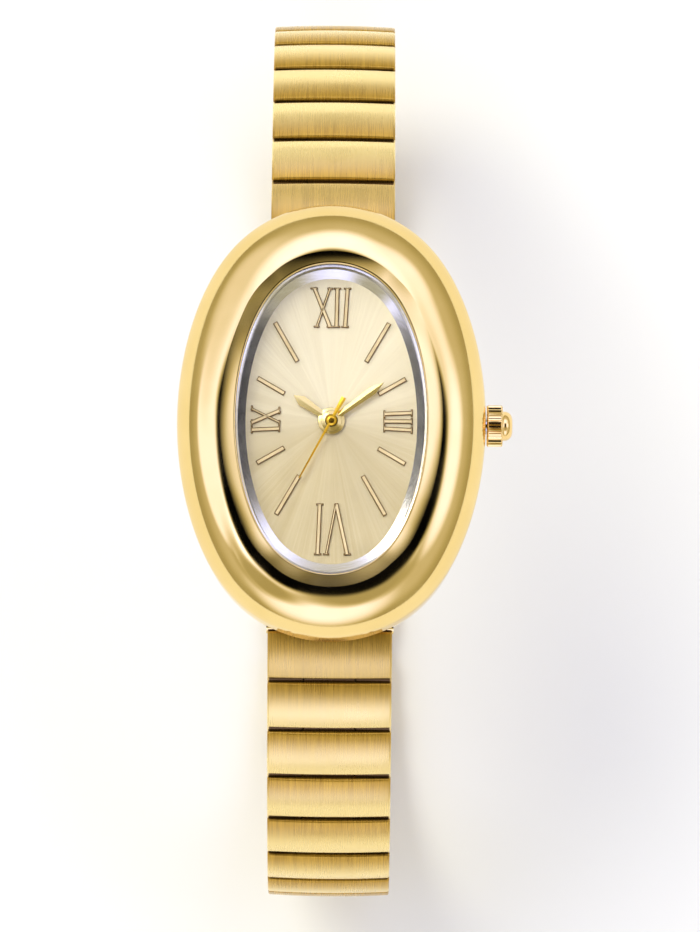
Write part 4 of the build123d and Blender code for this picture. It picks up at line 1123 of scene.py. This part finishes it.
@dataclass
class DialFace:
    """Sunburst dial with its applied batons and numerals."""

    book: FinishBook
    nodes: dict[str, bpy.types.Object]
    half_width: float = 6.95
    half_length: float = 11.65
    outline_power: float = 2.0
    rise: float = 0.18
    bevel: float = 0.07
    baton_width: float = 0.38
    baton_setback_share: float = 0.085
    upper_reach: float = 0.42
    long_baton: float = 3.7
    short_baton: float = 2.55
    stroke: float = 0.34
    thin_stroke: float = 0.22
    serif: float = 0.16
    serif_reach: float = 0.13
    narrow_share: float = 0.5
    foot_share: float = 0.85
    sunk: float = 0.02
    bevel_limit: float = 0.8
    # Number of wall and bevel faces of a bar, which carry the painted shade.
    painted_shade_faces: int = 8
    crease: float = 20.0
    numerals: Sequence[tuple[str, float, float, float, float]] = (
        ("XII", 3.3, 3.3, 90, 9.27),
        ("VI", 4.2, 3.1, -90, 8.82),
        ("III", 2.38, 2.1, 0, 5.4),
        ("IX", 2.38, 2.3, 180, 5.33),
    )
    level: float = 0.0
    bars: list = field(default_factory=list)

    def build(self) -> None:
        """Dress the dial and make its markers."""
        self.book.dress(self.nodes["dial"], DIAL_CHAMPAGNE)
        self.level = box_mm("dial")[1].z
        for hours, length in (((1, 5, 7, 11), self.long_baton), ((2, 4, 8, 10), self.short_baton)):
            for hour in hours:
                self.baton(90 - 30 * hour, length)
        for numeral in self.numerals:
            self.numeral(*numeral)
        piece = joined("applied_markers", self.bars, self.crease)
        self.book.dress(piece, MARKER_GOLD, MARKER_PAINTED_SHADE)
        ride(piece, "head", "hour_markers")

    def bar(self, start: Flat, end: Flat, width: float, turn: Matrix) -> None:
        """Flat-topped bar with bevelled edges between two points on the dial.

        Args:
            start: one end of its middle line.
            end: the other end.
            width: its width.
            turn: places the marker that it belongs to.
        """
        length = math.dist(start, end)
        half = width / 2
        inset = min(self.bevel, half * self.bevel_limit)
        floor, top = self.level - self.sunk, self.level + self.rise
        shoulder = top - inset
        outline = [(0, -half), (length, -half), (length, half), (0, half)]
        inner = [(inset, inset - half), (length - inset, inset - half),
                 (length - inset, half - inset), (inset, half - inset)]
        rings = [(outline, floor), (outline, shoulder), (inner, top)]
        vertices = [(x, y, z) for points, z in rings for x, y in points]
        faces = closed_strips(3, 4, wrap_rows=False) + [(0, 1, 2, 3), (8, 9, 10, 11)]
        piece = make_piece("marker_bar", vertices, faces)
        # The walls and bevels get the second finish, which is painted shade.
        for face in piece.data.polygons[:self.painted_shade_faces]:
            face.material_index = 1
        angle = math.atan2(end[1] - start[1], end[0] - start[0])
        place = Matrix.Translation((start[0] * MM, start[1] * MM, 0)) @ Matrix.Rotation(angle, 4, "Z")
        piece.data.transform(turn @ place)
        self.bars.append(piece)

    def baton(self, bearing: float, length: float) -> None:
        """Straight marker that points to the middle.

        Args:
            bearing: degrees anticlockwise from +X.
            length: its length.
        """
        turn = math.radians(bearing)
        across = abs(math.cos(turn) / self.half_width)**self.outline_power
        along = abs(math.sin(turn) / self.half_length)**self.outline_power
        outer = (across + along)**(-1 / self.outline_power) * (1 - self.baton_setback_share)
        if length == self.long_baton and math.sin(turn) > 0:
            outer += self.upper_reach
        self.bar((outer - length, 0.0), (outer, 0.0), self.baton_width, Matrix.Rotation(turn, 4, "Z"))

    def letter(self, letter: str, middle: float, width: float, half: float) -> list:
        """Strokes of one letter.

        Args:
            letter: I, V or X.
            middle: its middle across the numeral.
            width: its width.
            half: half the numeral's height.

        Returns:
            Foot, top and width of each stroke.
        """
        foot = middle * self.foot_share
        lean = width / 2 - self.stroke / 2
        foot_lean = lean * self.foot_share
        if letter == "I":
            return [((foot, -half), (middle, half), self.stroke)]
        if letter == "V":
            return [((foot, -half), (middle - lean, half), self.stroke),
                    ((foot, -half), (middle + lean, half), self.thin_stroke)]
        return [((foot + foot_lean, -half), (middle - lean, half), self.stroke),
                ((foot - foot_lean, -half), (middle + lean, half), self.thin_stroke)]

    def numeral(self, letters: str, height: float, width: float, bearing: float, distance: float) -> None:
        """Roman numeral with serifs, its top outwards.

        Args:
            letters: the numeral.
            height: its height.
            width: its width at the top.
            bearing: degrees anticlockwise from +X.
            distance: from the dial's middle to the numeral's middle.
        """
        turn = Matrix.Rotation(math.radians(bearing - 90), 4, "Z")
        turn = turn @ Matrix.Translation((0, distance * MM, 0))
        half = height / 2
        shares = [self.narrow_share if letter == "I" else 1.0 for letter in letters]
        cursor = -width / 2
        for letter, share in zip(letters, shares):
            advance = width * share / sum(shares)
            for foot, top, thickness in self.letter(letter, cursor + advance / 2, advance, half):
                self.bar(foot, top, thickness, turn)
                for x, y in ((top,) if letter == "V" else (foot, top)):
                    reach = thickness / 2 + self.serif_reach
                    level = math.copysign(half - self.serif / 2, y)
                    self.bar((x - reach, level), (x + reach, level), self.serif, turn)
            cursor += advance


# Hands

@dataclass(frozen=True)
class Blade:
    """One hand: its sizes, its place and its names."""

    node: str
    body: str
    length: float
    width: float
    hub: float
    rise: float
    bearing: float


@dataclass
class Hands:
    """Hour and minute hand with faceted blades, and the thin second hand."""

    book: FinishBook
    thickness: float = 0.12
    edge: float = 0.05
    ridge: float = 0.03
    hub_rise: float = 0.06
    hub_edge: float = 0.02
    hub_share: float = 0.66
    base_share: float = 0.55
    shoulder_share: float = 0.78
    tail: float = 2.1
    tail_width: float = 0.42
    hub_flat: float = 0.9
    hub_steps: int = 72
    tip_cut: float = 0.02
    tip_rise: float = 0.01
    crease: float = 22.0
    facet_crease: float = 5.0
    hour: Blade = Blade("hour_hand", "hour_hand_body", 3.72, 0.88, 1.1, 0.22, 56.0)
    minute: Blade = Blade("minute_hand", "minute_hand_body", 5.30, 0.70, 0.85, 0.48, -53.7)
    second: Blade = Blade("second_hand", "second_hand_body", 5.40, 0.22, 0.45, 0.74, -208.5)

    def build(self) -> None:
        """Make the three hands."""
        base = box_mm("dial")[1].z
        for blade in (self.hour, self.minute):
            self.finished(blade, self.faceted(blade, base + blade.rise), HAND_GOLD, base)
        self.finished(self.second, self.needle(base + self.second.rise), SECOND_GOLD, base)

    def finished(self, blade: Blade, parts: list, finish: Finish, base: float) -> None:
        """Add the hub, turn the hand to its time and hang it on its body.

        Args:
            blade: the hand's sizes.
            parts: its blade's pieces.
            finish: its finish.
            base: height of the dial.
        """
        parts.append(self.hub(blade, base + blade.rise))
        piece = joined(blade.node + "_blade", parts, self.crease)
        piece.data.transform(Matrix.Rotation(math.radians(90 + blade.bearing), 4, "Z"))
        self.book.dress(piece, finish)
        ride(piece, blade.body, blade.node)

    def hub(self, blade: Blade, level: float) -> bpy.types.Object:
        """Round domed hub of a hand.

        Args:
            blade: the hand's sizes.
            level: height of its underside.

        Returns:
            The piece.
        """
        top = level + self.thickness + self.hub_rise
        radius = blade.hub
        bead = self.hub_edge
        profile = [(0.0, level), (radius - bead, level), (radius, level + bead), (radius, level + 2 * bead),
                   (radius - bead, level + 3 * bead), (radius * self.hub_share, top - bead / 2),
                   (radius * self.hub_share * self.hub_flat, top), (0.0, top)]
        return turned("hub", profile, self.hub_steps)

    def faceted(self, blade: Blade, level: float) -> list:
        """Blade of two facets that meet in a ridge.

        Args:
            blade: the hand's sizes.
            level: height of its underside.

        Returns:
            The blade's pieces.
        """
        half = blade.width / 2
        base = half * self.base_share
        shoulder = blade.length * self.shoulder_share
        low, rim = level, level + self.edge
        crest = level + self.thickness + self.ridge
        outline = [(0.0, -base), (shoulder, -half), (blade.length, 0.0), (shoulder, half), (0.0, base)]
        vertices = [(x, y, low) for x, y in outline] + [(x, y, rim) for x, y in outline]
        vertices += [(0.0, 0.0, crest), (shoulder, 0.0, crest),
                     (blade.length - self.tip_cut, 0.0, rim + self.tip_rise)]
        faces = [(0, 1, 2, 3, 4)] + [(i, (i + 1) % 5, 5 + (i + 1) % 5, 5 + i) for i in range(5)]
        faces += [(5, 6, 11, 10), (9, 10, 11, 8), (6, 7, 12), (6, 12, 11), (8, 12, 7), (8, 11, 12),
                  (5, 10, 9)]
        return [make_piece("facets", vertices, faces, self.facet_crease)]

    def needle(self, level: float) -> list:
        """Thin tapered second hand with its wider tail.

        Args:
            level: height of its underside.

        Returns:
            The hand's pieces.
        """
        half = self.second.width / 2
        tail = self.tail_width / 2
        tip = half * self.base_share
        outline = [(-self.tail, -tail), (0.0, -half), (self.second.length, -tip),
                   (self.second.length, tip), (0.0, half), (-self.tail, tail)]
        spine = [(-self.tail, 0.0), (0.0, 0.0), (self.second.length, 0.0)]
        rim, crest = level + self.edge, level + self.thickness
        vertices = [(x, y, level) for x, y in outline] + [(x, y, rim) for x, y in outline]
        vertices += [(x, y, crest) for x, y in spine]
        faces = [(0, 1, 2, 3, 4, 5)] + [(i, (i + 1) % 6, 6 + (i + 1) % 6, 6 + i) for i in range(6)]
        faces += [(6, 7, 13, 12), (7, 8, 14, 13), (9, 10, 13, 14), (10, 11, 12, 13), (8, 9, 14),
                  (11, 6, 12)]
        return [make_piece("needle", vertices, faces, self.facet_crease)]


# Crown

@dataclass
class Crown:
    """Knurled crown with a domed cap."""

    book: FinishBook
    nodes: dict[str, bpy.types.Object]
    radius: float = 1.7
    length: float = 1.3
    cap_radius: float = 1.2
    cap_length: float = 0.8
    ridges: int = 28
    ridge_depth: float = 0.12
    soft: float = 0.16
    steps_per_ridge: int = 8
    soft_steps: int = 5
    cap_foot: Flat = (0.06, 0.08)
    cap_round: Flat = (0.7, 0.62)
    cap_steps: int = 10
    rim_margin: float = 1.01
    groove_sharpness: float = 0.8
    crease: float = 50.0

    def build(self) -> None:
        """Make the crown and dress its stem and lever."""
        low, high = box_mm("crown")
        height = (low.z + high.z) / 2
        profile = [(0.0, 0.0), (self.radius - self.soft, 0.0)]
        profile += arc_points((self.radius - self.soft, self.soft), (self.soft, self.soft),
                              -90, 0, self.soft_steps)[1:]
        profile += [(self.radius, self.length * 0.5)]
        profile += arc_points((self.radius - self.soft, self.length - self.soft),
                              (self.soft, self.soft), 0, 90, self.soft_steps)
        end = self.length + self.cap_length
        out, up = self.cap_foot
        profile += [(self.cap_radius + out, self.length), (self.cap_radius, self.length + up)]
        profile += arc_points((self.cap_radius - self.cap_round[0], end - self.cap_round[1]),
                              self.cap_round, 0, 90, self.cap_steps)
        profile += [(0.0, end)]
        steps = self.ridges * self.steps_per_ridge
        piece = turned("crown_knob", profile, steps, self.knurl, self.crease)
        piece.data.transform(Matrix.Rotation(math.pi / 2, 4, "Y"))
        piece.data.transform(Matrix.Translation((low.x * MM, 0.0, height * MM)))
        self.book.dress(piece, CROWN_GOLD)
        ride(piece, "crown_body", "crown")
        self.book.dress(self.nodes["crown_stem"], STEEL)
        self.book.dress(self.nodes["setting_lever"], STEEL)

    def knurl(self, step: int, point: Flat) -> float:
        """Factor on a radius that cuts the grooves of the rim.

        Args:
            step: number round the crown.
            point: radius and height of the profile's point.

        Returns:
            The factor.
        """
        radius, height = point
        if height > self.length or radius < self.radius - self.soft * self.rim_margin:
            return 1.0
        wave = math.cos(math.tau * step / self.steps_per_ridge)
        share = max(0.0, min(1.0, 0.5 + self.groove_sharpness * wave))
        return 1.0 - self.ridge_depth / self.radius * share


# Bracelet

@dataclass
class Bracelet:
    """Two rows of bars on hinge pins, every one in its own place on the loop."""

    book: FinishBook
    width: float = 10.2
    pitch: float = 4.4
    gap: float = 0.35
    crest: float = 1.35
    edge_drop: float = 0.35
    underside: float = 0.9
    chamfer: float = 0.25
    crown: float = 0.15
    corner: float = 0.22
    side_round: float = 0.16
    knuckle: float = 0.6
    clearance: float = 0.08
    tongue: float = 4.2024
    tongue_gap: float = 0.06
    pin: float = 0.3
    pin_recess: float = 0.05
    pin_gap: float = 0.03
    sections: int = 14
    fall_shares: Sequence[float] = (0.139, 0.167, 0.2, 0.244, 0.3, 0.367, 0.444, 0.533, 0.628, 0.722,
                                    0.817, 0.9, 0.967)
    reach: float = 1.0
    # Shares of the painted sheen: less on the first link, as painted shade next to the head, and a little
    # less on the lower row, as painted duller light there.
    first_painted_sheen: float = 0.45
    lower_painted_sheen: float = 0.82
    seed_step: float = 3.7
    overlap: float = 0.01
    chamfered: float = 0.05
    ear_chamfer: float = 0.06
    ear_inset: float = 0.05
    back_steps: int = 24
    corner_steps: int = 5
    corner_turn: float = 72.0
    crease: float = 35.0

    def build(self) -> None:
        """Make the links of both sides."""
        pattern = self.link()
        bars_low, bars_high = box_mm("spring_bars")
        y, z = bars_high.y - self.pin, (bars_low.z + bars_high.z) / 2
        for index, share in enumerate(self.fall_shares, start=1):
            fall = math.pi * share
            stand = Matrix.Translation((0, y * MM, z * MM)) @ Matrix.Rotation(-fall, 4, "X")
            for side, name in ((0.0, "upper_link_"), (math.pi, "lower_link_")):
                turned_stand = Matrix.Rotation(side, 4, "Z") @ stand
                self.place(pattern, turned_stand, f"{name}{index:02d}", index + side)
            y += self.pitch * math.cos(fall)
            z -= self.pitch * math.sin(fall)
        bpy.data.objects.remove(pattern)

    def place(self, pattern: bpy.types.Object, stand: Matrix, node: str, seed: float) -> None:
        """Put a copy of the link in its place.

        Args:
            pattern: the link in its own frame.
            stand: its place.
            node: CAD node that it stands for.
            seed: shifts its grain.
        """
        mesh = pattern.data.copy()
        mesh.name = node + "_bar"
        values = mesh.attributes.new("piece_seed", "FLOAT", "POINT")
        values.data.foreach_set("value", [seed * self.seed_step] * len(mesh.vertices))
        # Each link's share of the painted sheen.
        painted_sheen = mesh.attributes.new(LINK_PAINTED_SHEEN, "FLOAT", "POINT")
        share = self.first_painted_sheen if node.endswith("_01") else 1.0
        share *= self.lower_painted_sheen if node.startswith("lower") else 1.0
        painted_sheen.data.foreach_set("value", [share] * len(mesh.vertices))
        places = mesh.attributes.new(LINK_PLACE, "FLOAT_VECTOR", "POINT")
        places.data.foreach_set("vector", [part for vertex in mesh.vertices for part in vertex.co])
        mesh.transform(stand)
        piece = placed(node + "_bar", mesh)
        self.book.dress(piece, LINK_GOLD)
        ride(piece, node + "_body", node)

    def outline(self) -> list[Flat]:
        """Side view of the bar as (along the band, height).

        Returns:
            The closed outline.
        """
        near, far = self.gap / 2, self.pitch - self.gap / 2
        edge = self.crest - self.edge_drop
        half = (far - near) / 2
        radius = (half**2 + self.edge_drop**2) / (2 * self.edge_drop)
        tilt = math.degrees(math.asin(half / radius))
        back = arc_points((self.pitch / 2, self.crest - radius), (radius, radius),
                          90 + tilt, 90 - tilt, self.back_steps)
        soft = self.corner
        top = [p for p in back if near + soft < p[0] < far - soft]
        rise = math.sqrt(radius**2 - (half - soft)**2) + self.crest - radius
        points = arc_points((near + soft, rise - soft), (soft, soft),
                            180, 180 - self.corner_turn, self.corner_steps) + top
        points += arc_points((far - soft, rise - soft), (soft, soft),
                             self.corner_turn, 0, self.corner_steps)
        points += [(far, -self.chamfer * 2), (far - self.chamfer, -self.underside),
                   (near + self.chamfer, -self.underside), (near, -self.chamfer * 2)]
        return points

    def bar(self) -> bpy.types.Object:
        """Convex bar with rounded ends, slightly crowned across.

        Returns:
            The object.
        """
        outline = self.outline()
        count = len(outline)
        normals = []
        for i in range(count):
            before, after = outline[i - 1], outline[(i + 1) % count]
            dy, dz = after[0] - before[0], after[1] - before[1]
            size = math.hypot(dy, dz)
            normals.append((-dz / size, dy / size))
        half = self.width / 2
        ends = []
        for step in range(self.corner_steps + 1):
            angle = math.pi / 2 * step / self.corner_steps
            ends.append((half - self.side_round * (1 - math.sin(angle)),
                         self.side_round * (1 - math.cos(angle))))
        inner = half - self.side_round
        stations = [(-x, inset) for x, inset in reversed(ends)]
        stations += [(inner * (2 * step / self.sections - 1), 0.0) for step in range(1, self.sections)]
        stations += ends
        vertices = []
        for x, inset in stations:
            drop = self.crown * (x / half)**2
            for (y, z), (ny, nz) in zip(outline, normals):
                vertices.append((x, y - ny * inset, z - nz * inset - drop))
        faces = closed_strips(len(stations), count, wrap_rows=False)
        faces += [tuple(range(count)), tuple(range(len(vertices) - count, len(vertices)))]
        return make_piece("bar", vertices, faces)

    def link(self) -> bpy.types.Object:
        """One link in its own frame, its head pin at the origin, with its tail pin.

        Returns:
            The object.
        """
        half = self.width / 2
        inner = self.tongue / 2
        ear = inner + self.tongue_gap
        pocket = self.knuckle + self.clearance
        web = self.knuckle + self.clearance + self.gap
        far = half + self.reach
        lap = self.overlap
        heights = (lap - self.knuckle, self.knuckle - lap)
        tail = (self.pitch, 0.0)
        steps = []
        for hand in (-1, 1):
            steps.append(("DIFFERENCE", rod("cut", pocket, sorted((hand * inner, hand * far)))))
        steps.append(("DIFFERENCE", rod("cut", pocket, (-ear, ear), tail)))
        steps.append(("UNION", rod("tongue", self.knuckle, (-inner, inner), edge=self.chamfered)))
        steps.append(("UNION", slab("web", ((lap - inner, inner - lap), (0.0, web), heights))))
        for hand in (-1, 1):
            x_span = sorted((hand * ear, hand * (half - lap)))
            steps.append(("UNION", rod("ear", self.knuckle, x_span, tail, self.ear_chamfer)))
            web_span = sorted((hand * (ear + lap), hand * (half - self.ear_inset)))
            steps.append(("UNION", slab("web", (web_span, (self.pitch - web, self.pitch), heights))))
        bore = self.pin + self.pin_gap
        steps.append(("DIFFERENCE", rod("bore", bore, (-far, far), tail)))
        body = combined("link_body", self.bar(), steps, self.crease)
        end = half - self.pin_recess
        pin = rod("pin", self.pin, (-end, end), tail, self.chamfered)
        return joined("link_pattern", [body, pin], self.crease)


# Clasp, back and movement

@dataclass
class Rest:
    """Nodes that keep their CAD shape and get their real finish."""

    book: FinishBook
    nodes: dict[str, bpy.types.Object]

    def build(self) -> None:
        """Dress the clasp, the case back and the movement."""
        groups = {
            SATIN_GOLD: ("clasp_base", "clasp_cover", "ladder_plate"),
            BACK_STEEL: ("caseback",),
            HOLDER_PLASTIC: ("movement_holder",),
            PLATE_BRASS: ("main_plate", "train_bridge"),
            STEEL: ("movement_screws", "stator"),
            BATTERY_STEEL: ("battery",),
            COIL_COPPER: ("coil",),
            BOARD_GREEN: ("circuit_board",),
            ROTOR_MAGNET: ("rotor",),
            WHEEL_BRASS: ("second_wheel", "third_wheel", "centre_wheel", "intermediate_wheel",
                          "minute_wheel", "hour_wheel"),
        }
        for finish, names in groups.items():
            for name in names:
                self.book.dress(self.nodes[name], finish)
                LOG.info("%s keeps its CAD shape in %s", name, finish.name)


# Studio

@dataclass(frozen=True)
class SoftBox:
    """Bright patch of the studio, seen in the metal.

    bearing is anticlockwise from +X, tilt is the angle from the zenith, both in degrees.
    """

    bearing: float
    tilt: float
    core: float
    fade: float
    strength: float

    def direction(self) -> Point:
        """Unit vector towards the middle of the patch."""
        tilt, bearing = math.radians(self.tilt), math.radians(self.bearing)
        return (math.sin(tilt) * math.cos(bearing), math.sin(tilt) * math.sin(bearing), math.cos(tilt))


@dataclass
class Studio:
    """Floor, lamps, world and camera."""

    boxes: Sequence[SoftBox] = (
        SoftBox(-109.3, 24.3, 28.8, 7.0, 4.0),
        SoftBox(171.3, 43.3, 18.5, 7.5, 1.4),
        SoftBox(138.5, 54.1, 2.0, 27.5, 1.0),
        SoftBox(88.9, 28.5, 2.1, 29.9, 1.8),
        SoftBox(47.9, 43.7, 2.0, 16.9, 1.4),
        SoftBox(3.6, 40.6, 2.0, 21.5, 1.5),
        SoftBox(-95.8, 54.0, 2.0, 41.9, 1.5),
        SoftBox(-64.4, 27.0, 12.0, 14.2, 0.5),
        SoftBox(-133.6, 39.1, 9.1, 16.1, 0.5),
        SoftBox(-43.2, 0.2, 15.9, 9.2, 0.0),
    )
    ceiling: float = 0.71
    horizon: float = 0.47
    warm: Colour = (1.0, 0.92, 0.62)
    cool: Colour = (1.0, 1.04, 1.7)
    cool_range: Flat = (0.55, 1.45)
    key_strength: float = 1.1
    key_colour: Colour = (1.0, 0.98, 0.92)
    key_spread: float = 30.0
    key_from: Point = (-0.45, 0.4, 0.8)
    floor_half: float = 3000.0
    floor_colour: Colour = (0.95, 0.95, 0.78)
    tilt: float = 6.5
    roll: float = 0.44
    distance: float = 600.0
    pixels_per_mm: float = 12.27
    image_height: float = 932.0
    clip_end: float = 100.0
    sky_rise: float = 0.5
    sensor: float = 36.0
    aim: Flat = (1.548, -3.57)
    girth: float = 43.522

    def build(self) -> None:
        """Make the floor, the light and the camera."""
        bpy.context.scene.view_settings.view_transform = "Standard"
        self.floor()
        self.world()
        self.key_lamp()
        self.camera()

    def floor(self) -> None:
        """Plain pale floor that keeps the watch's shadow and that the metal mirrors as it is seen."""
        far = self.floor_half
        corners = [(-far, -far, 0.0), (far, -far, 0.0), (far, far, 0.0), (-far, far, 0.0)]
        piece = make_piece("studio_floor", corners, [(0, 1, 2, 3)])
        material, sheet = blank_material("studio_floor")
        piece.data.materials.append(material)
        paint = sheet.add("ShaderNodeBsdfDiffuse", {"Color": (*self.floor_colour, 1.0)})
        sheet.add("ShaderNodeOutputMaterial", {"Surface": paint.outputs[0]})

    def world(self) -> None:
        """Dim warm sky with cool soft boxes and dark flags, about neutral in all."""
        world = bpy.data.worlds.new("studio")
        bpy.context.scene.world = world
        world.use_nodes = True
        world.node_tree.nodes.clear()
        sheet = Sheet(world.node_tree)
        place = sheet.add("ShaderNodeTexCoord").outputs["Generated"]
        height = sheet.add("ShaderNodeSeparateXYZ", {0: place}).outputs["Z"]
        level = sheet.span(height, 0.0, self.sky_rise, self.horizon, self.ceiling)
        for box in self.boxes:
            feeds = {0: self.mask(sheet, place, box), 2: level, 3: box.strength}
            level = sheet.add("ShaderNodeMix", feeds, data_type="FLOAT").outputs[0]
        colour = sheet.blend(sheet.span(level, *self.cool_range, smooth=False), self.warm, self.cool)
        glow = sheet.add("ShaderNodeBackground", {"Color": colour, "Strength": level})
        sheet.add("ShaderNodeOutputWorld", {"Surface": glow.outputs[0]})

    def mask(self, sheet: Sheet, place: bpy.types.NodeSocket, box: SoftBox) -> bpy.types.NodeSocket:
        """1 inside a patch of the sky and 0 outside it.

        Args:
            sheet: the world's nodes.
            place: direction of the sky.
            box: the patch.

        Returns:
            The mask.
        """
        near = sheet.add("ShaderNodeVectorMath", {0: place, 1: box.direction()},
                         operation="DOT_PRODUCT").outputs["Value"]
        edge = math.cos(math.radians(box.core + box.fade))
        return sheet.span(near, edge, math.cos(math.radians(box.core)))

    def key_lamp(self) -> None:
        """Soft lamp from the upper left, which gives the hands and markers their shadow."""
        data = bpy.data.lights.new("key", "SUN")
        data.energy = self.key_strength
        data.color = self.key_colour
        data.angle = math.radians(self.key_spread)
        lamp = bpy.data.objects.new("key", data)
        bpy.context.scene.collection.objects.link(lamp)
        lamp.rotation_euler = Vector(self.key_from).to_track_quat("Z", "Y").to_euler()
        lamp.visible_camera = False
        lamp.visible_glossy = False

    def camera(self) -> None:
        """Long lens from almost straight above, leaning towards 6 o'clock."""
        data = bpy.data.cameras.new("camera")
        data.sensor_width = self.sensor
        data.lens = self.sensor * self.pixels_per_mm * self.distance / self.image_height
        data.clip_end = self.clip_end
        camera = bpy.data.objects.new("camera", data)
        bpy.context.scene.collection.objects.link(camera)
        lean = math.radians(self.tilt)
        away = Vector((0.0, -math.sin(lean), math.cos(lean)))
        target = Vector((self.aim[0], self.aim[1], self.girth))
        camera.location = (target + away * self.distance) * MM
        level = (-away).to_track_quat("-Z", "Y").to_matrix().to_4x4()
        turn = level @ Matrix.Rotation(math.radians(self.roll), 4, "Z")
        camera.rotation_euler = turn.to_euler()
        bpy.context.scene.camera = camera


def main() -> None:
    """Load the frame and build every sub-assembly."""
    logging.basicConfig(level=logging.INFO, format="%(message)s")
    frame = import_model()
    nodes = frame["nodes"]
    book = FinishBook()
    Studio().build()
    Head(book, nodes).build()
    DialFace(book, nodes).build()
    Hands(book).build()
    Crown(book, nodes).build()
    Bracelet(book).build()
    Rest(book, nodes).build()


if __name__ == "__main__":
    main()
